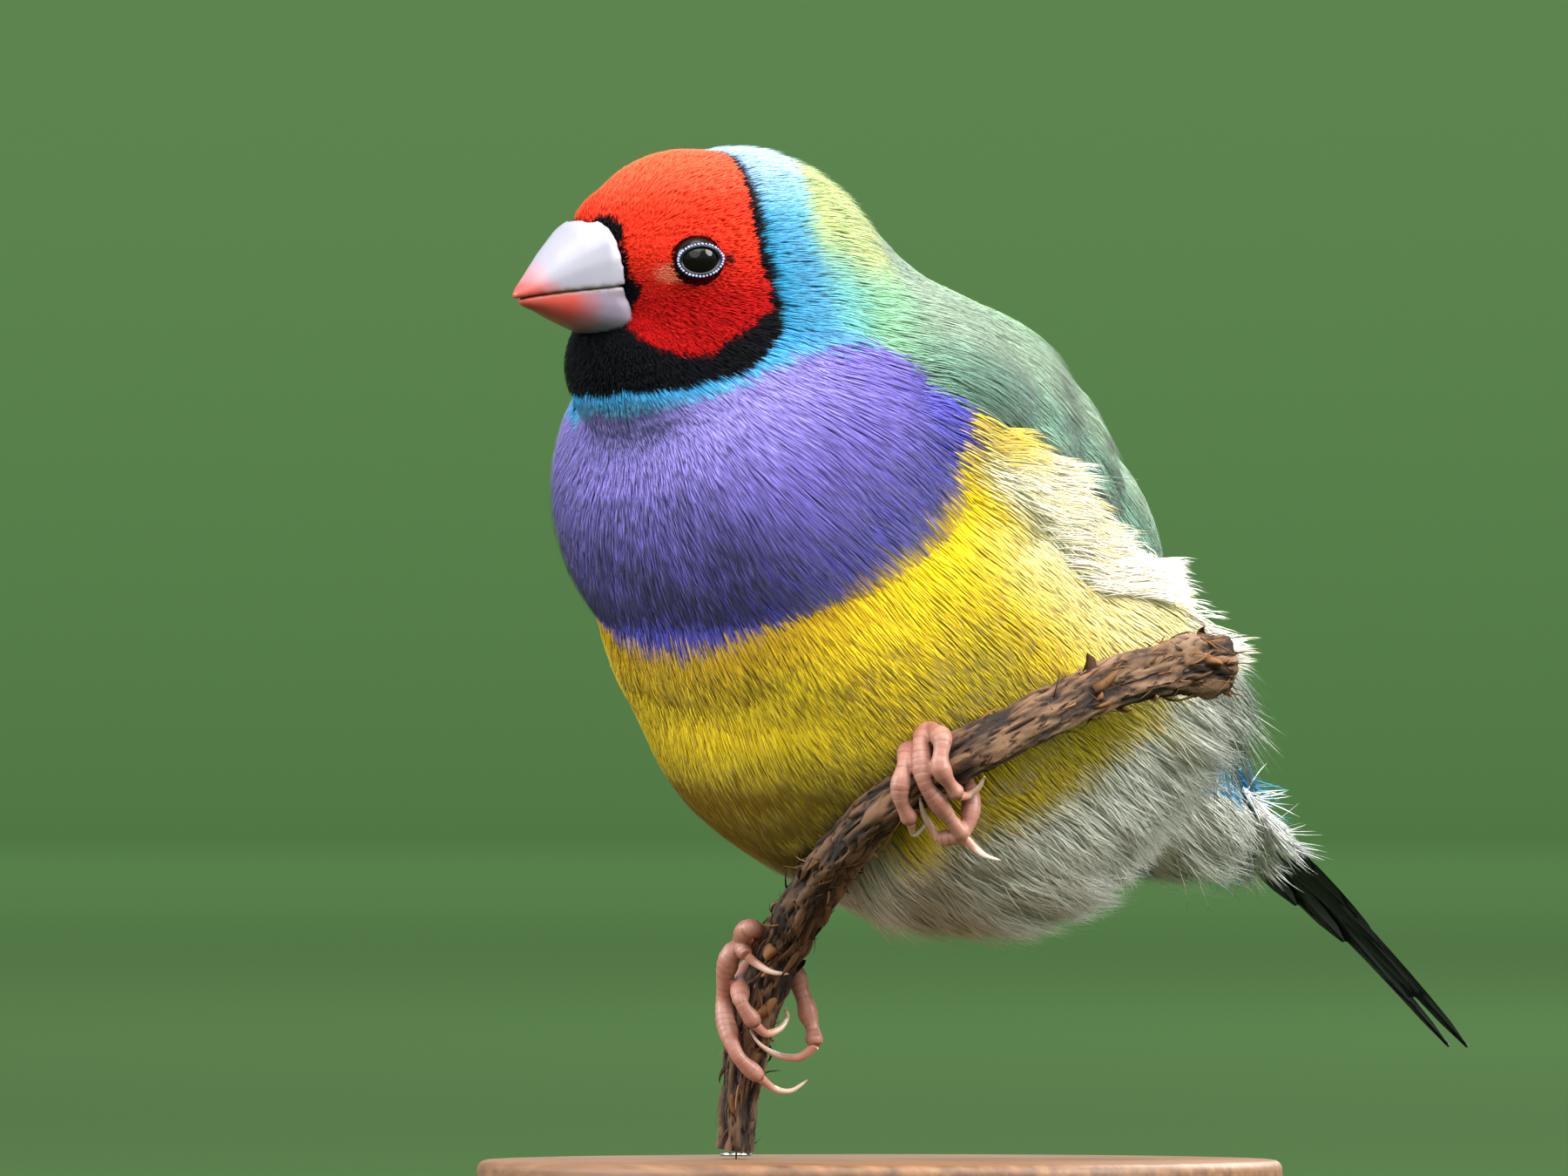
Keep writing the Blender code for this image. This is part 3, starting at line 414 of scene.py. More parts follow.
    # black feathers edge the bill, widest above the nostril and at the gape
    for i in np.flatnonzero((forward > 7.5) & (reach < 13)):
        nostril = max(0.0, 1 - math.hypot((up[i] - 4.6) / 2.2, (abs(side[i]) - 3.2) / 2.0))
        gape = max(0.0, 1 - math.hypot((up[i] + 2.2) / 1.4, (abs(side[i]) - 4.8) / 2.0))
        edge = (1.15 if up[i] > 3 else 0.92) + 0.4 * nostril + 0.8 * gape
        if billTree.find_nearest(Vector(places[i]), edge)[0] is not None:
            colour[i] = tints["ink"]
    zones = {"face": mask, "bib": bib, "upper": upper, "along": along, "roll": roll, "violetEnd": violetEnd,
             "yellowEnd": yellowEnd, "beyond": beyond, "turn": turn,
             "maskGap": np.radians(np.abs(lean - maskLean)) * reach}
    return colour, zones


# materials

def setInputs(tree, node, inputs):  # from a number, a hex colour, a node, or a node and the name of its output
    for key, value in inputs.items():
        if isinstance(value, bpy.types.Node):
            value = (value, 0)
        if isinstance(value, tuple) and isinstance(value[0], bpy.types.Node):
            tree.links.new(value[0].outputs[value[1]], node.inputs[key])
        else:
            node.inputs[key].default_value = (*linear(value), 1) if isinstance(value, str) else value


def newMaterial(name):
    material = bpy.data.materials.new(name)
    material.use_nodes = True
    tree = material.node_tree
    return material, tree, tree.nodes["Principled BSDF"]


def plainMaterial(name, inputs):
    material, tree, shader = newMaterial(name)
    setInputs(tree, shader, inputs)
    return material


def addNode(tree, kind, inputs=None, **settings):
    node = tree.nodes.new("ShaderNode" + kind)
    for key, value in settings.items():
        setattr(node, key, value)
    setInputs(tree, node, inputs or {})
    return node


def rangeNode(tree, source, start, end, low=0.0, high=1.0, **settings):
    return addNode(tree, "MapRange", {"Value": source, "From Min": start, "From Max": end, "To Min": low,
                                      "To Max": high}, **settings)


def rampOf(tree, source, stops):
    node = addNode(tree, "ValToRGB", {"Fac": source})
    ramp = node.color_ramp
    while len(ramp.elements) < len(stops):
        ramp.elements.new(0.5)
    for element, (place, colour) in zip(ramp.elements, stops):
        element.position = place
        element.color = (*linear(colour), 1) if isinstance(colour, str) else (colour, colour, colour, 1)
    return node


keratinIor = 1.54  # refraction of feather and horn


def plumageMaterial(name, roughness, sheen):  # keratin barbs: matt, with a soft sheen along their edges
    material, tree, shader = newMaterial(name)
    tint = addNode(tree, "Attribute", attribute_name="featherTint")
    setInputs(tree, shader, {"Base Color": tint, "Roughness": roughness, "IOR": keratinIor,
                             "Specular IOR Level": 0.1, "Sheen Weight": sheen, "Sheen Roughness": 0.45})
    return material


def vaneMaterial(name, roughness):  # flight feather vanes: combed barbs 0.3 mm apart on a smooth web
    material, tree, shader = newMaterial(name)
    tint = addNode(tree, "Attribute", attribute_name="featherTint")
    apart = addNode(tree, "SeparateXYZ", {"Vector": addNode(tree, "UVMap", uv_map="vaneMap")})
    out = addNode(tree, "Math", {0: (apart, "X")}, operation="ABSOLUTE")
    lean = addNode(tree, "Math", {0: out, 1: 0.9}, operation="MULTIPLY")
    comb = addNode(tree, "Math", {0: (apart, "Y"), 1: lean}, operation="SUBTRACT")
    beat = addNode(tree, "Math", {0: comb, 1: 2 * math.pi / 0.3}, operation="MULTIPLY")
    wave = addNode(tree, "Math", {0: beat}, operation="SINE")
    bump = addNode(tree, "Bump", {"Strength": 0.35, "Distance": 0.00006, "Height": wave})
    shade = rangeNode(tree, wave, -1, 1, 0.8, 1.06)
    tinted = addNode(tree, "MixRGB", {"Fac": 1.0, "Color1": tint, "Color2": shade}, blend_type="MULTIPLY")
    setInputs(tree, shader, {"Base Color": tinted, "Normal": bump, "Roughness": roughness, "IOR": keratinIor,
                             "Sheen Weight": 0.06, "Specular IOR Level": 0.18})
    return material


skinMaterial = plumageMaterial("downyUndercoat", 0.85, 0.0)
barbMaterial = plumageMaterial("keratinBarbs", 0.6, 0.18)
faceMaterial = plumageMaterial("velvetFaceBarbs", 0.62, 0.0)
flightMaterial = vaneMaterial("combedFlightVane", 0.52)
print("plumage materials made")


# the skin under the coat, one closed surface over head, neck, torso and folded wings

skinNodes = ("head", "neck", "torso", "wing_left", "wing_right")
skinSettings = {"voxel": 0.6, "grow": 0.25, "smoothing": 7, "bodyDepth": 0.66, "headDepth": 0.5, "wingDepth": 0.55,
                "quillDepth": 0.3, "shade": 0.8}
# hollows to bridge, as spans of turns round the body's axis: first turn, columns of 2 degrees and search width
hollowSettings = {"lowest": -32, "rows": 78, "unseen": 18.0, "underWing": (20, 40, (4, 9)),
                  "overBack": (-70, 70, (9, 5))}
# rounded forms that close the hollows between head, neck, back and breast: centre, radii, pitch and yaw
fillForms = (
    ((0, 0, -3), (24.2, 35.0, 24.2), 36, 0), ((0, -13.8, 9.2), (22.0, 20.2, 20.0), 36, 0),
    ((0, -6, 15.8), (19.0, 21.5, 13.6), 42, 0), ((0.2, -19.0, 20.0), (14.5, 13.5, 15.5), 58, 0),
    ((0.3, -18.0, 27.0), (12.4, 13.8, 11.4), 40, -11),
)


def onWing(points):  # 1 on the folded wing, 0 on the body
    along, roll, radius = wingPlacesOf(points)
    proud = radius - chartRadius(along)
    edge, roll = chartLine("wingEdge", along), np.abs(roll)
    return ease(roll, edge + 1, edge - 2) * ease(roll, 5, 9) * ease(proud, -4.2, -3.0) * ease(along, 27, 24)


def coatDepth(points):
    reach, along = headPolar(points)[2], wingPlacesOf(points)[0]
    depth = between(skinSettings["headDepth"], skinSettings["bodyDepth"], ease(reach, 12, 26))
    depth = between(depth, skinSettings["wingDepth"], onWing(points))
    return between(depth, skinSettings["quillDepth"], ease(along, -12, -20) * ease(reach, 26, 34))


def makeSkin(nodes, name, voxel, grow, smoothing, fillers=()):
    skin = workingCopy(nodes, name)
    moveVertices(skin, verticesOf(skin) + verticesOf(skin, "normal") * grow * mm)
    lumps = [modelled(bpy.ops.mesh.primitive_uv_sphere_add, "lump", toRow(centre), segments=48, ring_count=32,
                      radius=mm, rotation=(math.radians(-pitch), 0, math.radians(yaw)), scale=radii)
             for centre, radii, pitch, yaw in fillers]
    joinPieces([skin] + lumps, name)
    remeshed(skin, voxel, smoothing)
    return skin


def underWing(along, turn):
    return ease(turn, 38, 46) * ease(turn, 88, 76) * ease(along, -27, -20) * ease(along, 33, 28)


def flankLevel(along, turn):  # the height of the flank's loose plumage, and how much of it is wanted
    return chartRadius(along) - 0.9 - 0.2 * (turn - 64), ease(turn, 58, 64) * ease(along, 27, 20) * ease(along, -12, -6)


def overBack(along, turn):
    return ease(np.abs(turn), 66, 58) * ease(along, -14, -6) * ease(along, 36.5, 31.5)


# raises the hollows in a span of turns round the body's axis to a smooth bridge
def closeHollows(skin, side, span, shareOf, levelOf=None):
    first, columns, reach = hollowSettings[span]
    rows, lowest = hollowSettings["rows"], hollowSettings["lowest"]
    points = toDesign(verticesOf(skin))
    along, turn, radius = wingPlacesOf(points)
    turn = turn * side
    row = np.clip((along - lowest).astype(int), 0, rows - 1)
    column = np.clip(((turn - first) / 2.0).astype(int), 0, columns - 1)
    inside = (turn > first) & (turn < first + 2 * columns) & (along > lowest) & (along < lowest + rows)
    grid = np.zeros((rows, columns))
    np.maximum.at(grid, (row[inside], column[inside]), radius[inside])
    grid[grid == 0] = hollowSettings["unseen"]
    for fold in (np.maximum, np.minimum):
        for axis, width in enumerate(reach):
            padded = np.pad(grid, [(width, width) if i == axis else (0, 0) for i in range(2)], mode="edge")
            shifts = [np.take(padded, range(k, k + grid.shape[axis]), axis=axis) for k in range(2 * width + 1)]
            grid = fold.reduce(shifts)
    for _ in range(6):
        padded = np.pad(grid, 1, mode="edge")
        grid = (padded[:-2, 1:-1] + padded[2:, 1:-1] + padded[1:-1, :-2] + padded[1:-1, 2:] + 2 * grid) / 6
    r = np.clip(along - lowest - 0.5, 0, rows - 1.001)
    c = np.clip((turn - first) / 2.0 - 0.5, 0, columns - 1.001)
    i, k = r.astype(int), c.astype(int)
    near, far = (between(grid[i, j], grid[i + 1, j], r - i) for j in (k, k + 1))
    target = between(near, far, c - k)
    wanted = np.maximum(radius, between(radius, target, shareOf(along, turn)))
    if levelOf:
        wanted = np.maximum(wanted, between(radius, *levelOf(along, turn)))
    wanted = np.where(inside & (radius > 8), wanted, radius)
    push = (wanted - radius) / np.maximum(radius, 1e-6)
    moveVertices(skin, toRow(points + fromAxis(points)[1] * push[:, None]))


bodySkin = makeSkin(skinNodes, "bodySkin", skinSettings["voxel"], skinSettings["grow"], skinSettings["smoothing"],
                    fillForms)
for _, side in bothSides:
    closeHollows(bodySkin, side, "underWing", underWing, flankLevel)
remeshed(bodySkin, skinSettings["voxel"], 3)
closeHollows(bodySkin, 1, "overBack", overBack)
remeshed(bodySkin, skinSettings["voxel"], 3)
skinPoints = toDesign(verticesOf(bodySkin))
skinPoints -= verticesOf(bodySkin, "normal") * (coatDepth(skinPoints) + skinSettings["grow"])[:, None]
moveVertices(bodySkin, toRow(skinPoints))
paintVertices(bodySkin, plumageTint(skinPoints)[0] * skinSettings["shade"])
finishPiece(bodySkin, 80, skinMaterial, "violet_plumage", *skinNodes)
print("skin made:", len(skinPoints), "points")


# the coat: tapered barbs with three sides that grow from the skin along the feathers' lie

tuftSettings = {"lift": 1.8, "sunk": 0.12, "taper": 0.6, "ridge": 0.32, "patchWide": 0.0012, "patchTall": 0.0028}


# form holds long, wide, rise, curl and droop in millimetres; colour is for root and tip
def tuftMesh(name, root, normal, flow, form, colour, steps):
    count, per = len(root), 3 * steps + 1
    form = {key: np.broadcast_to(value, count)[:, None] for key, value in form.items()}
    side = unit(np.cross(normal, flow))
    points, tint = np.empty((count, per, 3)), np.empty((count, per, 3))
    for k, s in enumerate(np.linspace(0, 1, steps + 1)):
        lift = form["rise"] * (1 - (1 - s) ** tuftSettings["lift"]) - form["droop"] * s * s
        centre = (root + flow * (form["long"] * s) + normal * (lift - tuftSettings["sunk"] * (k == 0))
                  + side * (form["curl"] * s * s))
        half = form["wide"] * (1 - tuftSettings["taper"] * s) * 0.5
        shade = mix(colour[0], colour[1], np.full(count, s ** 0.8))
        ring = (centre - side * half, centre + side * half, centre + normal * half * tuftSettings["ridge"])
        for corner, place in enumerate(ring if k < steps else (centre,)):
            points[:, 3 * k + corner] = place
            tint[:, 3 * k + corner] = shade
    faces = [(0, 2, 1)]
    for a in range(0, 3 * steps - 3, 3):
        faces += [(a, a + 3, a + 5, a + 2), (a + 1, a + 2, a + 5, a + 4), (a, a + 1, a + 4, a + 3)]
    tip, last = 3 * steps, 3 * steps - 3
    faces += [(last, tip, last + 2), (last + 1, last + 2, tip), (last, last + 1, tip)]
    corners = np.concatenate([np.array(f) for f in faces])
    starts = np.concatenate(([0], np.cumsum([len(f) for f in faces])[:-1]))
    loops = (corners + np.arange(count)[:, None] * per).ravel()
    starts = (starts + np.arange(count)[:, None] * len(corners)).ravel()
    mesh = bpy.data.meshes.new(name)
    mesh.vertices.add(count * per)
    mesh.loops.add(len(loops))
    mesh.polygons.add(len(starts))
    mesh.vertices.foreach_set("co", toRow(points.reshape(-1, 3)).ravel())
    mesh.loops.foreach_set("vertex_index", loops.astype(np.int32))
    mesh.polygons.foreach_set("loop_start", starts.astype(np.int32))
    mesh.polygons.foreach_set("use_smooth", np.ones(len(starts), bool))
    mesh.update(calc_edges=True)
    mesh.validate()
    obj = newObject(name, mesh)
    paintVertices(obj, tint.reshape(-1, 3))
    bake = mesh.uv_layers.new(name="OFBake")  # a small patch for each tuft at its root's place on the unwrap
    corner = np.arange(per)
    patch = np.stack(((corner % 3 - 1) * tuftSettings["patchWide"],
                      (corner // 3 / steps - 0.5) * tuftSettings["patchTall"]), axis=1)
    places = (unwrapBody(root)[:, None, :] + patch).reshape(-1, 2)
    bake.data.foreach_set("uv", places[loops].ravel())
    return obj


def unwrapBody(points):  # round the body's axis, and along it
    along, roll, _ = wingPlacesOf(points)
    return np.stack(((roll + 180) / 360 * 0.98 + 0.01, (along + 75) / 150 * 0.98 + 0.01), axis=1)


def scatter(obj, perSquare, draw, weight):  # random roots on a skin, so many to a square millimetre
    mesh = obj.data
    mesh.calc_loop_triangles()
    corners = np.empty(len(mesh.loop_triangles) * 3, np.int32)
    mesh.loop_triangles.foreach_get("vertices", corners)
    corners = corners.reshape(-1, 3)
    points, normals = toDesign(verticesOf(obj)), verticesOf(obj, "normal")
    a, b, c = (points[corners[:, i]] for i in range(3))
    area = np.linalg.norm(np.cross(b - a, c - a), axis=1) / 2
    counts = draw.poisson(area * perSquare * weight((a + b + c) / 3))
    chosen = np.repeat(corners, counts, axis=0)
    u, v = draw.random(len(chosen)), draw.random(len(chosen))
    flip = u + v > 1
    u[flip], v[flip] = 1 - u[flip], 1 - v[flip]
    shares = ((1 - u - v)[:, None], u[:, None], v[:, None])
    place, facing = (sum(values[chosen[:, i]] * shares[i] for i in range(3)) for values in (points, normals))
    return place, unit(facing)


billRoot = headPoint(10.5, 0, -1.5)


def lieOf(points, normals):  # the direction that feathers lie in, away from the bill and then along the body
    away = points - billRoot
    reach = np.linalg.norm(away, axis=1)
    along, roll, _ = wingPlacesOf(points)
    share = ease(reach, 22, 62) * (0.45 + 0.5 * ease(np.abs(roll), 75, 45))
    way = unit(mix(unit(away), tailAxis, np.maximum(share, ease(along, -8, -26))))
    down = unit(np.cross(fromAxis(points)[1], wingAxis)) * np.sign(roll)[:, None]
    way = unit(way + down * (0.22 * onWing(points) * ease(np.abs(roll), 25, 50))[:, None])
    x, y, z = points.T
    wander = 0.09 * np.sin(x * 0.55 + 1.3) * np.cos(z * 0.5) + 0.05 * np.sin(y * 1.1)
    return alongSurface(way + unit(np.cross(normals, way)) * wander[:, None], normals)


# turns barbs towards the tip of the nearest parent feather, so that fine gaps open between them
def clump(root, normal, flow, long, spacing, pull, draw):
    size = max(1, int(len(root) / spacing))
    parents = draw.choice(len(root), size, replace=False)
    nearest = nearestOf(root[parents], root)
    tips = root + flow * long[:, None]
    way = unit(between(tips, tips[parents[nearest]], pull) - root)
    return alongSurface(way, normal), draw.random(size)[nearest]


def strandAngle(points):  # turn round the line from the bill to the middle of the body
    line = unit(wingHub - billRoot)
    first = unit(np.cross(line, (1.0, 0, 0)))
    offset = points - billRoot
    return np.arctan2(offset @ np.cross(line, first), offset @ first)


coatSettings = {
    "seed": 11, "perSquare": 11.8, "jitter": 0.3, "faceJitter": 0.1, "barbsPerFeather": 11, "pull": 0.06,
    "barbsPerLock": 60, "lockPull": 0.3, "stray": 0.022, "shadeSpread": 0.07, "eyeLong": 2.35, "eyeTall": 1.6,
    "billGap": 0.35, "perchGap": 0.55, "mostBarbs": 19500, "strands": 300,
    # lengths in millimetres: body, face, bib and the mask's rim, then what head, rump, wing, vent and crown add
    "long": 5.0, "face": 0.95, "bib": 1.15, "rim": 0.7, "head": -3.0, "rump": 1.3, "wing": 1.4, "vent": 2.2,
    "crest": 0.8,
}

perchTree = surfaceTree([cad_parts[name] for name in ("leg_left", "leg_right", "perch")])


def barbDensity(points):  # thicker on the head and on the side that the camera sees, bare under the flight feathers
    reach = headPolar(points)[2]
    along, roll, _ = wingPlacesOf(points)
    roll = np.abs(roll)
    seen = points @ np.array((math.sin(viewAzimuth), -math.cos(viewAzimuth), 0.15))
    spread = (1 + 1.1 * ease(reach, 17, 13)) * (0.5 + 0.6 * ease(seen, -10, 4))
    lowest = np.interp(along, (-46, -28, 9), (11, 44, 58))
    bare = ease(along, -11, -18) * ease(roll, lowest - 1, lowest - 5) * ease(roll, 7, 11)
    downy = ~(roll < chartLine("wingEdge", along)) * ease(along, -4, -14)
    return spread * (1 - bare) * (1 + 0.15 * downy)


def coatRoots(draw):
    place, facing = scatter(bodySkin, coatSettings["perSquare"], draw, barbDensity)
    forward, side, up = headPlaces(place)
    ahead, out = forward - eyeCentre[0], np.abs(side) - eyeCentre[1]
    eyeAlong = ahead * math.cos(eyeTurn) - out * math.sin(eyeTurn)
    inEye = np.hypot(eyeAlong / coatSettings["eyeLong"], (up - eyeCentre[2]) / coatSettings["eyeTall"]) < 1
    keep = ~(inEye & (np.abs(side) > headSide) & (np.abs(forward - 4) < 6))
    for i in np.flatnonzero(keep):
        p = Vector(place[i])
        atBill = forward[i] > 4 and billTree.find_nearest(p, coatSettings["billGap"])[0] is not None
        keep[i] = not atBill and perchTree.find_nearest(p, coatSettings["perchGap"])[0] is None
    return place[keep], facing[keep]


def growCoat():
    draw = np.random.default_rng(coatSettings["seed"])
    root, normal = coatRoots(draw)
    count = len(root)
    forward, side, up = headPlaces(root)
    reach = headPolar(root)[2]
    jitter = np.where(reach < 16, coatSettings["faceJitter"], coatSettings["jitter"])
    flow = lieOf(root, normal)
    reachOut = np.interp(reach, (9, 13, 20, 26), (0.4, 0.8, 1.3, 2.4))  # the markings are read where a barb shows
    colour, zone = plumageTint(root + flow * reachOut[:, None], jitter[:, None], draw)
    face, bib, upper, along = (zone[key] for key in ("face", "bib", "upper", "along"))
    under, breast = ~upper, along > zone["violetEnd"]
    wing = onWing(root)
    toEdge = np.abs(zone["roll"]) - chartLine("wingEdge", along)
    vent = (1 - wing) * under * ease(along, zone["yellowEnd"] + 5, zone["yellowEnd"] - 5)
    crest = (1 - ease(np.abs(zone["beyond"] - 1.5), 1.5, 2.5)) * ease(zone["turn"], 50, 30) * ~bib

    # how long: short round bill and eye, longer towards rump and vent, and shorter at the wing's edge
    long = coatSettings["long"] + coatSettings["head"] * ease(reach, 26, 12)
    long += coatSettings["rump"] * ease(reach, 26, 32)
    long = np.where(bib, coatSettings["bib"], long)
    long = np.where(face, np.where(zone["maskGap"] < 1.2, coatSettings["rim"], coatSettings["face"]), long)
    eyeGap = np.hypot(forward - 4.5, up - eyeCentre[2])
    long *= np.where((np.abs(side) > headSide) & (reach < 14), 0.55 + 0.45 * ease(eyeGap, 2.4, 5), 1)
    long *= np.where((forward > 7) & (reach < 13), 0.7, 1)
    long += coatSettings["wing"] * wing - 3.4 * wing * ease(toEdge, -9, -1) * ease(along, -16, -8)
    long += coatSettings["vent"] * vent + coatSettings["crest"] * crest

    # how far it stands off: loose on vent and crown, over the wing's edge, and in soft rows down the nape
    rise = coatDepth(root) * (0.88 + 0.18 * draw.random(count))
    rise += vent * draw.random(count) ** 1.5 + 0.5 * crest * draw.random(count)
    rise += 0.9 * under * ease(toEdge, 10, 2) * ease(along, -20, -12) * ease(along, 21, 17)
    scallop = np.maximum(0.0, np.sin(zone["beyond"] * 3.6)) ** 0.7 * ease(zone["turn"], 60, 35) * upper
    rise += 0.5 * scallop * ease(zone["beyond"], 3.5, 5) * ease(zone["beyond"], 15, 12)

    long = long * draw.uniform(0.75, 1.2, count)
    flow, parentShade = clump(root, normal, flow, long, coatSettings["barbsPerFeather"], coatSettings["pull"], draw)
    stray = draw.normal(0, coatSettings["stray"], count) + 0.16 * vent * draw.normal(0, 1, count)
    flow = unit(flow + np.cross(normal, flow) * stray[:, None])
    # the vent's down hangs in loose locks
    locks, lockShare = clump(root, normal, flow, long, coatSettings["barbsPerLock"], coatSettings["lockPull"], draw)
    long = long * (1 + vent * (0.9 * lockShare ** 2 - 0.3))
    rise = rise * (1 + vent * (0.9 * lockShare - 0.3))
    flow = unit(mix(flow, locks, vent))
    form = {"long": long, "wide": 0.112 + 0.048 * ease(reach, 12, 28) - 0.025 * vent, "rise": rise,
            "curl": draw.normal(0, 0.03 + 0.05 * vent, count) * long * 0.5,
            "droop": 0.12 * rise + (1 - 0.6 * vent) * long ** 2 / 52 * ease(reach, 20, 30)}

    # barbs hang together in long strands that run back from the bill, about half a millimetre apart, with painted shade
    # in the grooves between the strands
    around = strandAngle(root)
    strand = np.sin(around * coatSettings["strands"] + 1.6 * np.sin(around * 47)) * ease(reach, 13, 18) * (1 - vent)
    strand = strand * np.where(upper | breast, 0.13, 0.06)
    spread = coatSettings["shadeSpread"] * (1 + 0.6 * wing - 0.6 * vent)
    shade = np.exp(draw.normal(0, 1, count) * spread + 0.1 * (parentShade - 0.5) + strand)
    below = under & (along < zone["violetEnd"])  # belly barbs are evenly tinted and look smooth
    # each barb is darker at its root, for the greyer down there, and lighter at its tip, a painted sheen
    base = np.clip(colour * (shade * np.where(below, 0.93, 0.8))[:, None], 0, 0.95)
    tip = np.clip(colour * (shade * np.where(below, 1.03, 1.1))[:, None], 0, 0.98)
    groups = (
        ("coatFace", face | bib, "scarlet_plumage"),
        ("coatNape", upper & (along > 24), "sky_plumage"),
        ("coatMantle", upper & (along <= 24), "green_plumage"),
        ("coatBreast", under & breast, "violet_plumage"),
        ("coatBelly", under & ~breast & (along > 1), "violet_plumage"),
        ("coatVent", under & (along <= 1), "violet_plumage"),
    )
    left = np.ones(count, bool)  # each barb goes to the first group that takes it
    for name, inside, slotName in groups:
        chosen = np.flatnonzero(inside & left)
        left[chosen] = False
        halves = {name: chosen}
        if len(chosen) >= coatSettings["mostBarbs"]:
            parts = np.array_split(chosen[np.argsort(root[chosen, 0])], 2)
            halves = {name + "_right": parts[0], name + "_left": parts[1]}
        for label, part in halves.items():
            piece = tuftMesh(label, root[part], normal[part], flow[part], {k: v[part] for k, v in form.items()},
                             (base[part], tip[part]), 2)
            finishPiece(piece, 0, faceMaterial if name == "coatFace" else barbMaterial, slotName)
            print("coat piece", label, len(part), "barbs")


growCoat()


# the folded wings: flight feathers laid in tiers

wingTilt = 0.55
# how many feathers, root and tip of the lowest, root and tip of the topmost, and their width in millimetres
wingTiers = {
    "primary": (6, (9, 60, -3.4), (-28, 44, -1.8), (6, 42, -3.6), (-46, 11, -1.3), 4.4),
    "secondary": (4, (6, 57, -3.5), (-21, 49, -1.4), (3, 38, -3.7), (-28, 27, -1.0), 5.2),
    "tertial": (3, (4, 34, -3.8), (-30, 24, -0.8), (4, 20, -3.6), (-20, 17, -0.4), 6.0),
    "greater": (9, (8, 57, -4.2), (-12, 55, -2.4), (7, 19, -4.2), (-15, 18, -1.6), 5.2),
}


def flatFeather(name, point):  # one feather as modelled flat: 2 wide, 1 long, later laid on a chart
    feather = modelled(bpy.ops.mesh.primitive_grid_add, name, x_subdivisions=8, y_subdivisions=16, size=2)
    across, far, _ = verticesOf(feather).T
    far = (far + 1) / 2
    left = np.clip((1 - far) / point, 0, 1)
    rounded = 0.1 + 0.9 * np.sqrt(np.maximum(0, 1 - (1 - left) ** 2))
    half = np.where(far < 1 - point, np.minimum(1.0, 0.6 + 1.5 * far), rounded)
    shaft = 0.16 * np.exp(-(across / 0.1) ** 2) - 0.1 * across ** 2
    moveVertices(feather, np.stack((across * half, far, shaft), axis=1))
    useModifier(feather, "SOLIDIFY", thickness=0.26, offset=-1)
    return feather


duskyVane, leafVane, vaneEdge, sageVane = (linear(c) for c in ("#1D1F1C", "#4C8A3C", "#8DB05A", "#7FA08A"))


def flightTint(tier, share, far):
    if tier == "rectrix":
        return tints["tail"]
    if tier == "primary":
        return mix(duskyVane, vaneEdge, 0.55 * ease(share, 0.45, 0.9))
    if tier == "secondary":
        return mix(duskyVane, leafVane, ease(share, 0.1, 0.75))
    return mix(mix(leafVane * 0.8, sageVane, 0.5 * ease(share, 0.2, 0.9)), vaneEdge, 0.25 * ease(far, 0.7, 1.0))


def layFeather(pattern, tier, root, tip, wide, side, tilt):  # side is for the wing; the tail's feathers have 0
    root, tip = np.array(root, float), np.array(tip, float)
    obj = newObject(tier, pattern.data.copy())
    share, far, high = verticesOf(obj).T
    out = share * wide / 2
    along, across, level = (root + (tip - root) * far[:, None]).T
    if side:
        turn = across + out / np.radians(chartRadius(along))
        points = wingPoint(along, turn, level + high + 0.32 + tilt * share)
        points[:, 0] *= side
    else:
        points = tailPoint(along, across + out, level + high + 0.2 + tilt * share)
    moveVertices(obj, toRow(points))
    if side < 0:
        editAll(obj, bpy.ops.mesh.flip_normals)
    paintVertices(obj, flightTint(tier, share, far))
    layer = obj.data.uv_layers.active or obj.data.uv_layers.new()
    layer.name = "vaneMap"
    loops = np.empty(len(obj.data.loops), np.int32)
    obj.data.loops.foreach_get("vertex_index", loops)
    uv = np.stack((out, far * max(abs(tip[0] - root[0]), 1)), axis=1)
    layer.data.foreach_set("uv", uv[loops].ravel())
    return obj


longFeather = flatFeather("longFeather", 0.4)
roundFeather = flatFeather("roundFeather", 0.55)
pointedFeather = flatFeather("pointedFeather", 0.75)


def growWing(label, side):
    feathers = []
    for tier, (count, rootA, tipA, rootB, tipB, wide) in wingTiers.items():
        pattern = longFeather if tier in ("primary", "secondary") else roundFeather
        for i in range(count):
            root, tip = between(np.array((rootA, tipA)), np.array((rootB, tipB)), i / (count - 1))
            feathers.append(layFeather(pattern, tier, root, tip, wide, side, wingTilt))
    finishPiece(joinPieces(feathers, "flightFeathers_" + label), 50, flightMaterial, "green_plumage")
    print("wing", label, "flight feathers", len(feathers))


for label, side in bothSides:
    growWing(label, side)


# flank fringes: long curling plumes that spill over the wing's edge

fringeSettings = {"count": 3500, "seed": 31, "wide": 0.09, "plumesPerLock": 8, "pull": 0.28}


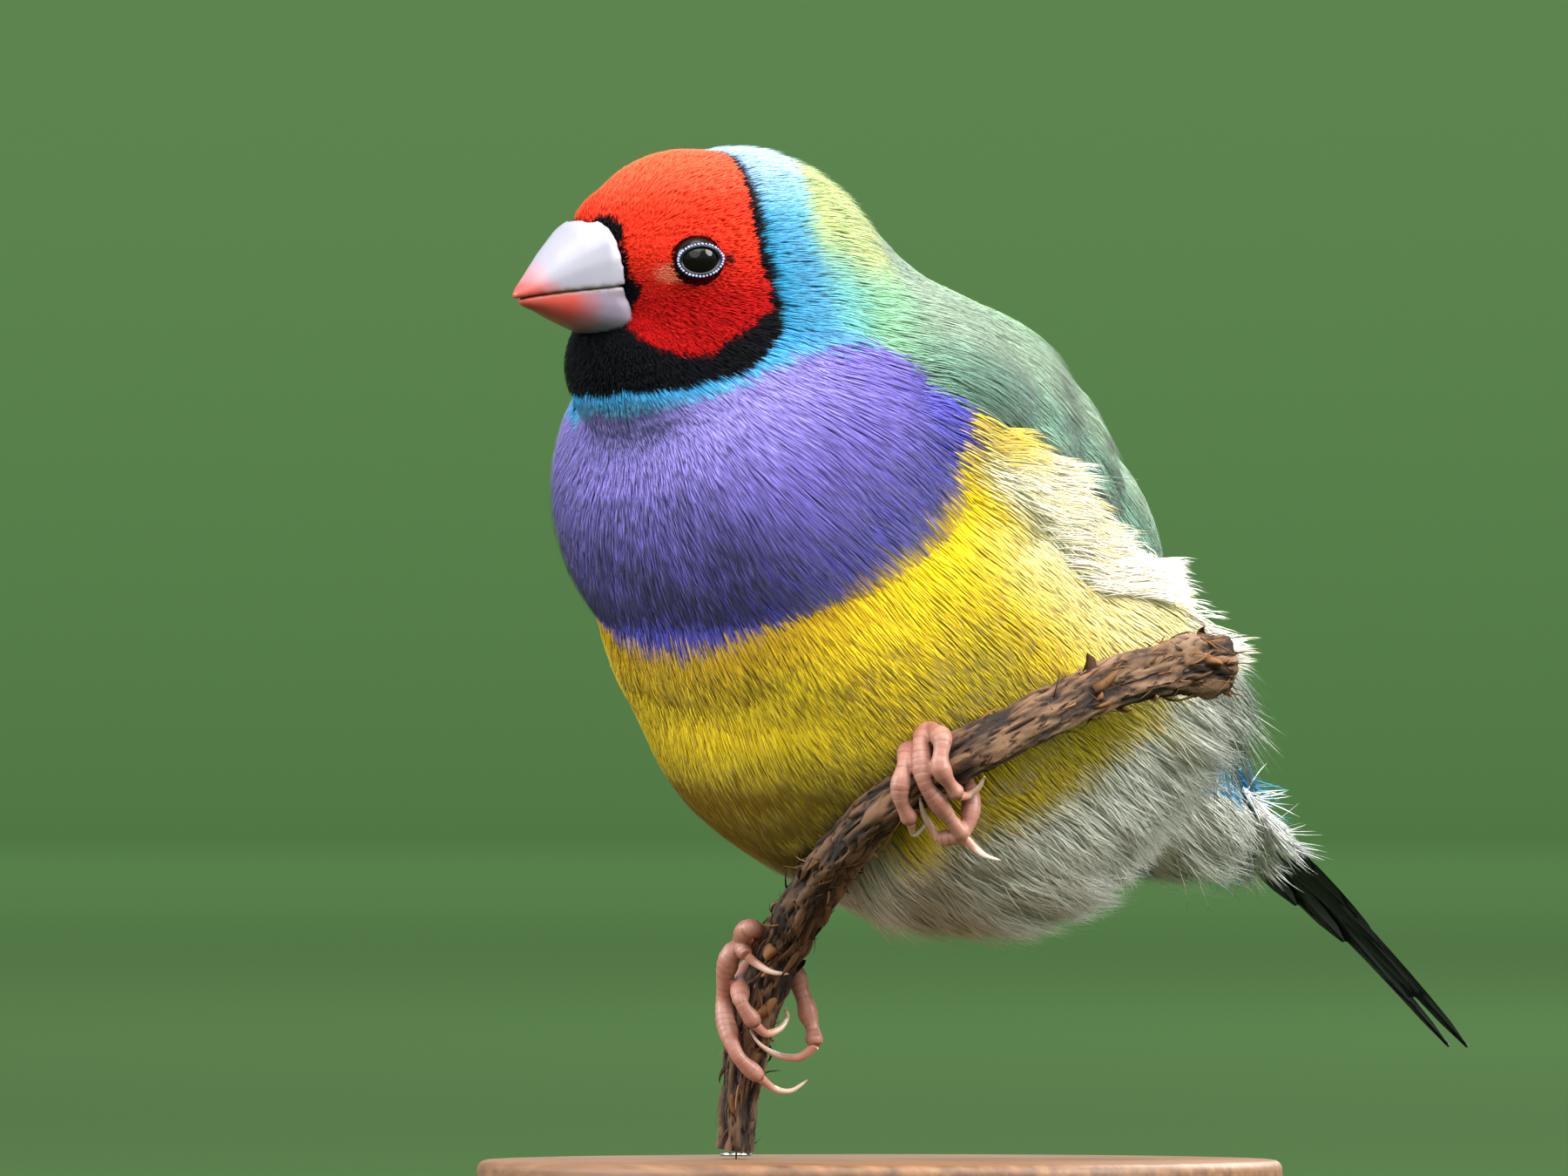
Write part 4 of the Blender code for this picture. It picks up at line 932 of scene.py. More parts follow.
def growFringe(label, side):
    draw = np.random.default_rng(fringeSettings["seed"] + side)
    count = fringeSettings["count"]
    along = draw.uniform(-17, 18.0, count)
    inward = draw.uniform(0, 1, count) ** 1.8 * (12 - 0.35 * np.abs(along)) - 0.5
    outward = awayFromAxis(chartLine("wingEdge", along) + inward, side)
    tree = surfaceTree([bodySkin])
    root, normal = np.zeros((count, 3)), np.zeros((count, 3))
    for i in range(count):
        start = Vector(wingHub + along[i] * wingAxis + outward[i] * 45)
        root[i], normal[i], _, _ = tree.ray_cast(start, Vector(-outward[i]))
    upwards = np.cross(wingAxis, unit(fromAxis(root)[1])) * side  # round the body towards the back
    swing = 0.8 + 0.3 * np.sin(along * 0.7 + inward * 0.4) + draw.normal(0, 0.08, count)
    flow = alongSurface(unit(upwards * swing[:, None] - wingAxis), normal)
    long = draw.uniform(3.2, 6.2, count)
    flow, lock = clump(root, normal, flow, long, fringeSettings["plumesPerLock"], fringeSettings["pull"], draw)
    yellowish = 0.8 * ease(along, 14, 17) + 0.4 * (draw.random(count) < 0.25)
    base = blend(tints["white"], ("cream", 0.02 + 0.2 * draw.random(count)), ("yellow", np.clip(yellowish, 0, 0.9)))
    tip = blend(base, ("yellow", 0.55 * ease(along, -4, 4) * (draw.random(count) < 0.45)))
    form = {"long": long * (0.8 + 0.4 * lock), "wide": fringeSettings["wide"],
            "rise": 1.2 + 0.7 * lock + draw.normal(0, 0.25, count), "curl": -side * (0.2 + 0.6 * lock),
            "droop": 0.2 + 0.3 * lock}
    piece = tuftMesh("flankFringe_" + label, root, normal, flow, form, (base, tip), 4)
    finishPiece(piece, 0, barbMaterial, "violet_plumage")
    print("fringe", label, count, "plumes")


for label, side in bothSides:
    growFringe(label, side)


# the tail: skin, rectrices and coverts

tailSettings = {"voxel": 0.4, "smoothing": 3, "depth": 0.35, "shade": 0.75, "perSquare": 17.0, "long": 4.6,
                "barbWide": 0.16, "seed": 41, "pairs": 6, "tilt": 0.1, "start": -9.0, "longest": 60.0, "next": 50.0}


def tailTint(places):
    offset = places - tailRoot
    along = offset @ tailAxis
    high = offset @ tailUp + tailDroop * np.maximum(0, along) ** 2
    above = np.where((high > -1.2)[:, None], tints["rump"], tints["white"])
    return blend(above, ("tail", ease(along, 13, 17) * ease(high, -3.2, -2.4)))


def growTail():
    skin = makeSkin(["tail"], "tailSkin", tailSettings["voxel"], 0.0, tailSettings["smoothing"])
    points = toDesign(verticesOf(skin)) - verticesOf(skin, "normal") * tailSettings["depth"]
    moveVertices(skin, toRow(points))
    paintVertices(skin, tailTint(points) * tailSettings["shade"])
    finishPiece(skin, 70, skinMaterial, "black_plumage", "tail")
    feathers = []
    for pair in range(tailSettings["pairs"]):  # the middle pair is the long pointed one
        length = tailSettings["next"] - 6.2 * pair if pair else tailSettings["longest"]
        spread, level = 1.1 + 0.62 * pair, -0.45 * pair
        for side in (1, -1):
            root = (tailSettings["start"], side * 0.5 * spread, level)
            tip = (length + tailSettings["start"], side * (spread + (0.4 * pair if pair else 0.1)), level)
            feathers.append(layFeather(longFeather if pair else pointedFeather, "rectrix", root, tip,
                                       4.4 if pair else 3.2, 0, tailSettings["tilt"] * side))
    finishPiece(joinPieces(feathers, "tailFeathers"), 50, flightMaterial, "black_plumage")
    draw = np.random.default_rng(tailSettings["seed"])
    root, normal = scatter(skin, tailSettings["perSquare"], draw, lambda p: ease((p - tailRoot) @ tailAxis, 19, 10))
    count = len(root)
    long = tailSettings["long"] * draw.uniform(0.6, 1.25, count)
    flow, _ = clump(root, normal, alongSurface(tailAxis, normal), long, 8, 0.3, draw)
    shade = tailTint(root) * np.exp(draw.normal(0, 0.15, count))[:, None]
    form = {"long": long, "wide": tailSettings["barbWide"], "rise": draw.uniform(0.3, 0.7, count),
            "curl": draw.normal(0, 0.25, count), "droop": 0.1}
    coat = tuftMesh("tailCoverts", root, normal, flow, form,
                    (np.clip(shade * 0.65, 0, 1), np.clip(shade * 1.08, 0, 1)), 3)
    finishPiece(coat, 0, barbMaterial, "black_plumage")
    print("tail:", len(feathers), "feathers,", count, "covert barbs")


growTail()
for pattern in (longFeather, roundFeather, pointedFeather):
    bpy.data.objects.remove(pattern)


# eyes: glossy dark balls with beaded lids

eyeSettings = {"radius": 2.3, "lidLong": 1.84, "lidTall": 1.33, "rimRows": 56, "rimSides": 10, "rimWide": 0.26,
               "rimDeep": 0.34, "rimReach": 0.97, "beads": 38, "beadSize": 0.125, "beadLift": 0.26, "beadReach": 1.1}
corneaFinish = plainMaterial("wetDarkCornea", {"Base Color": "#070404", "Roughness": 0.07, "IOR": 1.376,
                                               "Specular IOR Level": 0.34})  # over a near-black brown iris
lidFinish = plainMaterial("beadedLidSkin", {"Base Color": "#9AA6D4", "Roughness": 0.42, "Subsurface Weight": 0.15,
                                            "Subsurface Radius": (0.0004, 0.0003, 0.0003)})  # bare and slightly waxy
rimFinish = plainMaterial("moistLidEdge", {"Base Color": "#0C0A10", "Roughness": 0.35})


def eyePoint(side, along, up, out):
    forward = along * math.cos(eyeTurn) + out * math.sin(eyeTurn)
    away = out * math.cos(eyeTurn) - along * math.sin(eyeTurn)
    return headPoint(eyeCentre[0] + forward, side * (eyeCentre[1] + away), eyeCentre[2] + up)


def lidPoint(side, t, reach, lift):  # round the lid by the angle t, drawn out at the rear corner
    long, tall = eyeSettings["lidLong"] * math.cos(t), eyeSettings["lidTall"] * math.sin(t)
    pinch = 1 + 0.07 * max(0.0, -math.cos(t)) ** 6
    out = math.sqrt(eyeSettings["radius"] ** 2 - long ** 2 - tall ** 2) + lift
    return toRow(eyePoint(side, long * reach * pinch, tall * reach, out))


def ringFaces(rows, count, closed=False):
    faces = []
    for i in range(rows if closed else rows - 1):
        j = (i + 1) % rows
        for k in range(count):
            m = (k + 1) % count
            faces.append((i * count + k, i * count + m, j * count + m, j * count + k))
    return faces


def meshObject(name, points, faces):
    mesh = bpy.data.meshes.new(name)
    mesh.from_pydata([tuple(p) for p in points], [], faces)
    obj = newObject(name, mesh)
    editAll(obj, bpy.ops.mesh.normals_make_consistent, inside=False)
    return obj


def makeEye(label, side):
    ball = modelled(bpy.ops.mesh.primitive_uv_sphere_add, "eyeball_" + label, toRow(eyePoint(side, 0, 0, 0)),
                    segments=48, ring_count=32, radius=eyeSettings["radius"] * mm)
    finishPiece(ball, 180, corneaFinish, "dark_eye", "eye_" + label)
    rows, sides = eyeSettings["rimRows"], eyeSettings["rimSides"]
    thick, deep = eyeSettings["rimWide"] / eyeSettings["lidLong"], eyeSettings["rimDeep"]
    points = [lidPoint(side, t, eyeSettings["rimReach"] + thick * math.cos(turn), deep * math.sin(turn))
              for t in turnsOf(rows) for turn in turnsOf(sides)]
    rim = meshObject("lidRim_" + label, points, ringFaces(rows, sides, closed=True))
    finishPiece(rim, 180, rimFinish, "scarlet_plumage")
    draw = np.random.default_rng(50 + side)
    pattern = modelled(bpy.ops.mesh.primitive_ico_sphere_add, "bead", subdivisions=2, radius=1.0)
    unitBead = verticesOf(pattern)
    beads = []
    for i in range(eyeSettings["beads"]):
        t = 2 * math.pi * (i + 0.2 * draw.random()) / eyeSettings["beads"]
        centre = lidPoint(side, t, eyeSettings["beadReach"] + 0.02 * draw.random(), eyeSettings["beadLift"])
        beads.append(newObject("bead", pattern.data.copy()))
        moveVertices(beads[-1], centre + unitBead * eyeSettings["beadSize"] * draw.uniform(0.8, 1.15) * mm)
    bpy.data.objects.remove(pattern)
    finishPiece(joinPieces(beads, "lidBeads_" + label), 180, lidFinish, "scarlet_plumage")


for label, side in bothSides:
    makeEye(label, side)
print("eyes made")


# the bill: smooth ivory horn, flushed red at the tip and stained along the cutting edge

billSettings = {"voxel": 0.16, "smoothing": 26, "grow": 0.26, "push": (-1.1, 0, -0.5), "widen": 0.6}


def billMaterial():
    material, tree, shader = newMaterial("polishedBillHorn")
    tip, root = toRow(headPoint(18.9, 0, -2.15)), toRow(headPoint(9.0, 0, -1.5))
    forward = unit(tip - root)
    upward = headTurn @ np.array((0, 0, 1.0))
    upward = upward - forward * (upward @ forward)
    place = (addNode(tree, "TexCoord"), "Object")
    moved = addNode(tree, "VectorMath", {0: place, 1: tuple(root)}, operation="SUBTRACT")
    along, high = ((addNode(tree, "VectorMath", {0: moved, 1: tuple(way / mm)}, operation="DOT_PRODUCT"), "Value")
                   for way in (forward, upward))
    grain = addNode(tree, "TexNoise", {"Scale": 700.0, "Detail": 4.0, "Vector": place})
    wobble = addNode(tree, "Math", {0: grain, 1: 1.4, 2: -0.7}, operation="MULTIPLY_ADD")
    # the flush reaches farther back along the cutting edge and on the lower half
    for part in (wobble, rangeNode(tree, high, 0.4, -0.4, 0.0, 2.6), rangeNode(tree, high, 1.6, 0.0, 0.0, 1.6)):
        along = addNode(tree, "Math", {0: along, 1: part}, operation="ADD")
    flush, lower = rangeNode(tree, along, 6.9, 9.8), rangeNode(tree, high, 0.1, -0.6)
    # the lower half is painted darker and more lilac: painted shade under the bill
    horn = addNode(tree, "MixRGB", {"Fac": lower, "Color1": "#8A8894", "Color2": "#7C7082"})
    ivory = addNode(tree, "MixRGB", {"Fac": flush, "Color1": horn, "Color2": "#B5423C"})
    near = rangeNode(tree, addNode(tree, "Math", {0: high}, operation="ABSOLUTE"), 0.75, 0.1)
    spots = addNode(tree, "TexNoise", {"Scale": 1900.0, "Detail": 5.0, "Roughness": 0.7, "Vector": place})
    patchy = rampOf(tree, spots, [(0.45, 0.0), (0.66, 0.85)])
    stain = addNode(tree, "Math", {0: near, 1: patchy}, operation="MULTIPLY")
    stained = addNode(tree, "MixRGB", {"Fac": stain, "Color1": ivory, "Color2": "#8A6238"})
    bump = addNode(tree, "Bump", {"Strength": 0.12, "Distance": 0.0001, "Height": grain})
    setInputs(tree, shader, {"Base Color": stained, "Normal": bump, "Roughness": 0.36, "IOR": keratinIor,
                             "Subsurface Weight": 0.15, "Subsurface Radius": (0.0008, 0.0005, 0.0004)})
    return material


hornFinish = billMaterial()
for node in ("bill_upper", "bill_lower"):
    half = makeSkin([node], node + "_horn", billSettings["voxel"], billSettings["grow"], billSettings["smoothing"])
    if node == "bill_lower":  # a fuller corner where the jaw meets the throat
        spots = toDesign(verticesOf(half))
        forward, side, up = headPlaces(spots)
        fuller = ease(up, -2.4, -4.6) * ease(forward, 13.5, 10.5)
        outward = headTurn @ (billSettings["widen"], 0, 0) * np.clip(side / 3.0, -1, 1)[:, None]
        push = headPoint(*billSettings["push"]) - headCentre + outward
        moveVertices(half, toRow(spots + push * fuller[:, None]))
    finishPiece(half, 60, hornFinish, "ivory_bill", node)
print("bill made")


# the twig's line, which the toes close round

twigSettings = {
    # right of the view's middle, away from the camera, up, and radius
    "route": ((-4.4, 3.2, -51.6, 1.9), (-4, 2.6, -46.8, 2), (-3.2, 1.4, -42, 2.15), (-2, 0, -37.2, 2.25),
              (0, -3.4, -32.4, 2.4), (2.4, -8.2, -28, 2.55), (5.2, -14, -24, 2.5), (8.8, -18.6, -20.4, 2.4),
              (12.8, -20, -17.6, 2.4), (16.8, -21.2, -15.2, 2.45), (21.6, -21.2, -12.8, 2.4), (26.4, -20, -10.2, 2.4),
              (31.2, -17.5, -8.4, 2.6), (36, -14.6, -7.2, 2.8), (40.4, -12.6, -6.9, 2.9)),
    "step": 0.28, "coarse": 2.2, "sides": 84, "sunk": 0.16, "fibres": 620, "seed": 61,
    "patches": (0.14, 0.3, 0.42, 0.62, 0.83, 0.93, 0.99),  # where chips and fibres stand off, as shares of the length
}


def smoothLine(knots, step):  # points about a step apart on a smooth curve through the knots
    knots = np.array(knots, float)
    padded = np.vstack([2 * knots[0] - knots[1], knots, 2 * knots[-1] - knots[-2]])
    found = []
    for i in range(1, len(padded) - 2):
        a, b, c, d = padded[i - 1:i + 3]
        second, third = 2 * a - 5 * b + 4 * c - d, 3 * b - a - 3 * c + d
        count = max(1, round(float(np.linalg.norm((c - b)[:3])) / step))
        for t in np.arange(count) / count:
            found.append(0.5 * (2 * b + (c - a) * t + second * t ** 2 + third * t ** 3))
    found.append(knots[-1])
    return np.array(found)


def framesAlong(points):  # tangents and two normals that don't twist
    tangents = unit(np.gradient(points, axis=0))
    side = np.cross(tangents[0], (0.0, 0.0, 1.0))
    if np.linalg.norm(side) < 0.2:
        side = np.cross(tangents[0], (0.0, 1.0, 0.0))
    sides = []
    for tangent in tangents:
        side = side - tangent * (side @ tangent)
        side = side / np.linalg.norm(side)
        sides.append(side)
    sides = np.array(sides)
    return tangents, sides, np.cross(sides, tangents)


def ringMesh(name, rings):  # a closed skin over rings of points, with a fan at each end
    rings = np.array(rings)
    rows, count = rings.shape[:2]
    points = np.vstack([rings.reshape(-1, 3), rings[0].mean(0), rings[-1].mean(0)])
    faces = ringFaces(rows, count)
    last = (rows - 1) * count
    for k in range(count):
        m = (k + 1) % count
        faces += [(rows * count, m, k), (rows * count + 1, last + k, last + m)]
    return meshObject(name, toRow(points), faces)


twigKnots = [(*viewPoint(a, b, c), r) for a, b, c, r in twigSettings["route"]]
twigLine = smoothLine(twigKnots, twigSettings["coarse"])


def onTwig(across, up, side, lift):  # a place in the view that rests on the twig: before, behind, beside or on it
    c, s = math.cos(viewAzimuth), math.sin(viewAzimuth)
    x, y, z, radius = twigLine.T
    nearest = int(np.argmin(np.hypot(viewShift + x * c + y * s - across, z - up)))
    away = (y * c - x * s)[nearest] - (0.8 if side == "s" else 0)
    for _ in range(200):
        point = viewPoint(across, away, up)
        if (np.linalg.norm(twigLine[:, :3] - point, axis=1) - radius).min() >= lift:
            break
        away += 0.05 if side == "b" else -0.05
    return point


# legs: toes, then claws, as knots across and up in the view: f in front of the twig, b behind, s beside, t on top

footSettings = {
    "toeRadius": 0.85, "clawRadius": 0.44, "clawTip": 0.1, "shinRadius": 1.0, "ballRadius": 1.35, "scute": 0.66,
    "voxel": 0.115, "lip": 0.07, "groove": 0.11, "pad": 0.07, "padsApart": 2.9,
    "shinTop": {"left": (12.6, -8.0, -8.5), "right": (-5.0, -2.5, -25.0)},
    "left": {
        "inner": (((13.0, -12.8, "t"), (11.8, -14.0, "f"), (11.0, -16.2, "f"), (10.6, -19.0, "f"), (11.6, -21.4, "f")),
                  ((11.7, -22.3, "s"), (12.0, -22.5, "b"), (12.6, -22.0, "b"), (13.0, -21.2, "b"))),
        "middle": (((13.0, -12.8, "t"), (12.5, -14.2, "f"), (12.8, -17.6, "f"), (14.2, -19.8, "s"), (16.5, -22.8, "s")),
                   ((17.5, -23.8, "s"), (18.5, -24.5, "s"), (19.8, -24.9, "s"))),
        "outer": (((13.0, -12.8, "t"), (14.4, -13.8, "f"), (14.3, -16.4, "f"), (15.9, -19.0, "f")),
                  ((16.9, -18.9, "s"), (17.8, -18.2, "s"), (18.3, -17.2, "s"))),
        "hind": (((13.0, -12.8, "t"), (15.2, -14.6, "b"), (17.0, -19.0, "b"), (16.4, -22.3, "s"), (14.1, -22.9, "s")),
                 ((13.3, -21.7, "s"), (12.7, -20.5, "f"), (12.4, -19.2, "f"))),
    },
    "right": {
        "inner": (((-0.6, -33.0, "b"), (-2.9, -31.2, "s"), (-4.1, -32.4, "s"), (-3.4, -33.7, "f")),
                  ((-2.6, -34.4, "f"), (-1.2, -35.2, "f"), (0.4, -35.4, "f"))),
        "middle": (((-0.6, -33.0, "b"), (-4.6, -33.4, "s"), (-5.5, -38.0, "s"), (-4.5, -42.5, "f"), (-2.2, -45.0, "f")),
                   ((-0.9, -46.0, "s"), (0.6, -46.2, "s"), (2.2, -45.2, "s"))),
        "outer": (((-0.6, -33.0, "b"), (-3.2, -35.0, "b"), (-4.0, -37.6, "s"), (-2.6, -40.1, "f")),
                  ((-1.6, -40.9, "f"), (-0.3, -40.4, "s"), (0.3, -39.4, "s"), (0.1, -38.6, "s"))),
        "hind": (((-0.6, -33.0, "b"), (1.2, -36.0, "b"), (2.4, -39.8, "b"), (2.9, -42.0, "s")),
                 ((1.4, -43.1, "s"), (-0.6, -42.9, "f"), (-2.2, -41.9, "f"), (-3.1, -40.6, "f"))),
    },
}


# takes its colour from the piece's own vertices, with a fine bump of that size in millimetres
def tintedMaterial(name, layer, roughness, subsurface, grain, depth):
    material, tree, shader = newMaterial(name)
    tint = addNode(tree, "Attribute", attribute_name=layer)
    place = (addNode(tree, "TexCoord"), "Object")
    fine = addNode(tree, "TexNoise", {"Scale": 1000.0 / grain, "Detail": 4.0, "Vector": place})
    bump = addNode(tree, "Bump", {"Strength": 0.4, "Distance": depth * mm, "Height": fine})
    setInputs(tree, shader, {"Base Color": tint, "Normal": bump, "Roughness": roughness,
                             "Subsurface Weight": subsurface, "Subsurface Radius": (0.0009, 0.0004, 0.0003)})
    return material


legFinish = tintedMaterial("scaledLegSkin", "skinTint", 0.45, 0.25, 0.35, 0.05)  # dry scutes over warm flesh
clawFinish = tintedMaterial("translucentClawHorn", "skinTint", 0.28, 0.3, 0.6, 0.01)  # thin smooth horn


# rings of a toe or shin, with a row of scutes on the side that faces away from the twig
def scaledTube(route, radiusAt, sides, step, scuted):
    line = smoothLine(route, step)
    _, across, up = framesAlong(line)
    length = lengthAlong(line)
    rings, marks = [], []
    for i, p in enumerate(line):
        nearest = twigLine[int(np.argmin(np.linalg.norm(twigLine[:, :3] - p, axis=1))), :3]
        outward = unit(p - nearest)
        saw = (length[i] / footSettings["scute"]) % 1.0
        lip = footSettings["lip"] * (1 - saw) - footSettings["groove"] * math.exp(-(saw / 0.13) ** 2)
        ring = []
        for turn in turnsOf(sides):
            way = math.cos(turn) * across[i] + math.sin(turn) * up[i]
            facing = float(way @ outward)
            top = min(1.0, max(0.0, 0.35 + 0.75 * facing))
            pad = footSettings["pad"] * max(0.0, -facing) * math.sin(length[i] * footSettings["padsApart"])
            ring.append(p + way * radiusAt(length[i] / length[-1]) * (1 + (lip * top + pad) * scuted))
        rings.append(ring)
        marks.append(math.exp(-(saw / 0.16) ** 2))
    return rings, line, marks


def toeAt(t):
    knuckle = 0.15 * math.cos(6 * math.pi * t)
    return footSettings["toeRadius"] * (1.12 - 0.26 * t + knuckle) * (1 - 0.35 * max(0.0, (t - 0.93) / 0.07) ** 2)


def clawAt(t):
    return between(footSettings["clawRadius"], footSettings["clawTip"], t ** 1.3)


def makeClaw(label, toe, path):
    rings, line, _ = scaledTube(path, clawAt, 16, 0.12, 0.0)
    claw = ringMesh(f"clawHorn_{label}_{toe}", rings)
    far = np.append(np.repeat(np.linspace(0, 1, len(line)), 16), (0, 1))
    tint = mix(linear("#B47E6C"), linear("#CDB5A4"), ease(far, 0.1, 0.7))
    paintVertices(claw, mix(tint, linear("#5A4238"), ease(far, 0.88, 1.0) * 0.7), "skinTint")
    finishPiece(claw, 60, clawFinish, "claw_horn", f"claw_{label}_{toe}")


def makeFoot(label):
    lift, knots = footSettings["toeRadius"] + 0.3, footSettings[label]
    ball, top = onTwig(*knots["middle"][0][0], lift + 0.4), np.array(footSettings["shinTop"][label])
    tubes = [scaledTube([top, (top + ball) / 2, ball], lambda t: footSettings["shinRadius"], 24, 0.14, 0.8)]
    nails = {}
    for toe, (toeKnots, clawKnots) in knots.items():
        path = [ball] + [onTwig(*knot, lift) for knot in toeKnots[1:]]
        tubes.append(scaledTube(path, toeAt, 22, 0.12, 1.0))
        nails[toe] = path[-1:] + [onTwig(*knot, footSettings["clawRadius"] + 0.1) for knot in clawKnots]
    pieces = [ringMesh("toe", rings) for rings, _, _ in tubes]
    pieces.append(modelled(bpy.ops.mesh.primitive_uv_sphere_add, "ball", toRow(ball), segments=24, ring_count=16,
                           radius=footSettings["ballRadius"] * mm))
    foot = joinPieces(pieces, "legSkin_" + label)
    remeshed(foot, footSettings["voxel"], 1, 0.4)
    points = toDesign(verticesOf(foot))
    marks = np.concatenate([marks for _, _, marks in tubes])
    crease = marks[nearestOf(np.vstack([line for _, line, _ in tubes]), points)]
    x, y, z = points.T
    blotch = 0.5 + 0.5 * np.sin(x * 1.7 + 2 * np.sin(z * 1.3)) * np.sin(y * 1.9 + 1)
    tint = mix(linear("#A07262"), linear("#905448"), blotch * 0.7)
    paintVertices(foot, mix(tint, linear("#6E4030"), crease * 0.6), "skinTint")
    finishPiece(foot, 70, legFinish, "leg_skin", "leg_" + label)
    for toe, path in nails.items():
        makeClaw(label, toe, path)
    print("foot", label, len(points), "points")


for label, _ in bothSides:
    makeFoot(label)


# the twig: dark weathered bark, split along its length, with chips and loose fibres

def barkDetail(p, t, length, far):  # what strands, knobs, cracks and the burr at its end add, and strand and crack
    way = Vector((math.cos(t), math.sin(t), 0))
    spot = way * 1.7 + Vector((0, 0, length * 0.16))
    strand = noise.fractal(spot * 1.2, 0.8, 2.2, 5)
    knob = noise.noise(way * 0.9 + Vector((0, 0, length * 0.33)))
    crack = max(0.0, 1 - abs(noise.noise(spot * 2.1 + Vector((7, 3, 1)))) * 5.5) ** 2
    burr = noise.fractal(Vector(p * 0.55) + way, 0.8, 2.0, 3) * max(0.0, (far - 0.86) / 0.14)
    return 0.3 * strand + 0.34 * knob - 0.32 * crack + 0.5 * burr, strand, crack


def makeTwig():
    line = smoothLine(twigKnots, twigSettings["step"])
    points, radii = line[:, :3], line[:, 3]
    tangents, across, up = framesAlong(points)
    length, sides = lengthAlong(points), twigSettings["sides"]
    phases = np.random.default_rng(7).uniform(0, 2 * math.pi, 3)
    rings, hollow = [], []
    for i, p in enumerate(points):
        far, s = length[i] / length[-1], length[i] / 2.2
        ring = []
        for t in turnsOf(sides):
            ridge = 0.05 * math.sin(3 * t + 0.21 * s + phases[0]) + 0.035 * math.sin(5 * t - 0.33 * s + phases[1])
            ridge += 0.03 * math.sin(0.9 * s + phases[2] + t)
            detail, strand, crack = barkDetail(p, t, length[i], far)
            radius = radii[i] * (0.97 + ridge) - twigSettings["sunk"] + detail
            ring.append(p + radius * (math.cos(t) * across[i] + math.sin(t) * up[i]))
            hollow.append((strand, crack, far))
        rings.append(ring)
    twig = ringMesh("twigBark", rings)
    strand, crack, far = np.array(hollow + [(0, 0, 0), (0, 0, 1)]).T
    tint = mix(linear("#1E130B"), linear("#7C5A3F"), ease(strand, -0.4, 0.55))
    tint = mix(tint, linear("#776A5E"), 0.3 * ease(strand, 0.1, 0.6) * ease(far, 0.55, 0.9))
    tint = mix(tint, linear("#140D09"), ease(crack, 0.05, 0.6) * 0.85)
    # darker towards the twig's lower end: partly wet bark, partly painted shade
    tint = tint * (0.6 + 0.4 * ease(far, 0.3, 0.75))[:, None]
    tint[-2:] = linear("#C09A70")  # the cut ends
    paintVertices(twig, tint, "barkTint")
    finishPiece(twig, 50, tintedMaterial("weatheredTwigBark", "barkTint", 0.9, 0.0, 0.25, 0.12), "bark", "perch")

    draw = np.random.default_rng(twigSettings["seed"])
    count, patches = twigSettings["fibres"], np.array(twigSettings["patches"])
    inPatch = draw.random(count) < 0.7
    gathered = patches[draw.integers(0, len(patches), count)] + draw.normal(0, 0.02, count)
    place = np.where(inPatch, gathered, draw.random(count))
    index = np.clip((place * (len(points) - 1)).astype(int), 1, len(points) - 2)
    turn = draw.uniform(0, 2 * math.pi, count)
    normal = np.cos(turn)[:, None] * across[index] + np.sin(turn)[:, None] * up[index]
    root = points[index] + normal * (radii[index] - twigSettings["sunk"] - 0.1)[:, None]
    lean = draw.choice((-1, 1), count)[:, None] * tangents[index]
    flow = unit(lean + np.cross(normal, tangents[index]) * draw.normal(0, 0.45, count)[:, None])
    long, isChip = draw.uniform(0.8, 3.2, count), draw.random(count) < 0.16
    wide = np.where(isChip, draw.uniform(0.6, 1.5, count), draw.uniform(0.06, 0.3, count))
    form = {"long": long, "wide": wide, "rise": draw.uniform(0.15, 0.8, count), "curl": draw.normal(0, 0.5, count),
            "droop": draw.uniform(-0.2, 0.4, count)}
    tone = mix(linear("#2E1D12"), linear("#8A6240"), draw.random(count) ** 1.5)
    fibres = tuftMesh("barkFibres", root, normal, flow, form, (tone, tone * 1.1), 4)
    finishPiece(fibres, 0, plumageMaterial("tornBarkFibre", 0.85, 0.0), "bark")
    print("twig", len(far), "points and", count, "fibres")


makeTwig()


# the display stand

def woodMaterial():  # waxed turned oak, satin, with fine straight grain
    material, tree, shader = newMaterial("waxedTurnedOak")
    place = (addNode(tree, "TexCoord"), "Object")
    stretch = addNode(tree, "Mapping", {"Scale": (1.0, 14.0, 14.0), "Vector": place})
    grain = addNode(tree, "TexNoise", {"Scale": 45.0, "Detail": 8.0, "Roughness": 0.62, "Vector": stretch})
    tone = rampOf(tree, grain, [(0.3, "#4A2F1B"), (0.5, "#6E4A2C"), (0.7, "#86603C")])
    bump = addNode(tree, "Bump", {"Strength": 0.15, "Distance": 0.0002, "Height": grain})
    setInputs(tree, shader, {"Base Color": tone, "Normal": bump, "Roughness": 0.55, "Coat Weight": 0.08,
                             "Coat Roughness": 0.45})
    return material


def turnedPiece(name, node, material, slotName, vertices, bevel, segments):
    low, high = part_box(node)
    piece = modelled(bpy.ops.mesh.primitive_cylinder_add, name, [(a + b) / 2 for a, b in zip(low, high)],
                     vertices=vertices, radius=(high.x - low.x) / 2, depth=high.z - low.z)
    useModifier(piece, "BEVEL", width=bevel * mm, segments=segments, limit_method="ANGLE")
    finishPiece(piece, 40, material, slotName, node)


turnedPiece("turnedBase", "stand_base", woodMaterial(), "waxed_wood", 160, 0.9, 4)
brushedSteel = plainMaterial("brushedSteel", {"Base Color": "#B9BABC", "Metallic": 1.0, "Roughness": 0.3})
turnedPiece("steelPin", "stand_rod", brushedSteel, "brushed_steel", 64, 0.15, 2)
print("stand made")


# floor, lights and camera, placed in the view's own axes, in metres

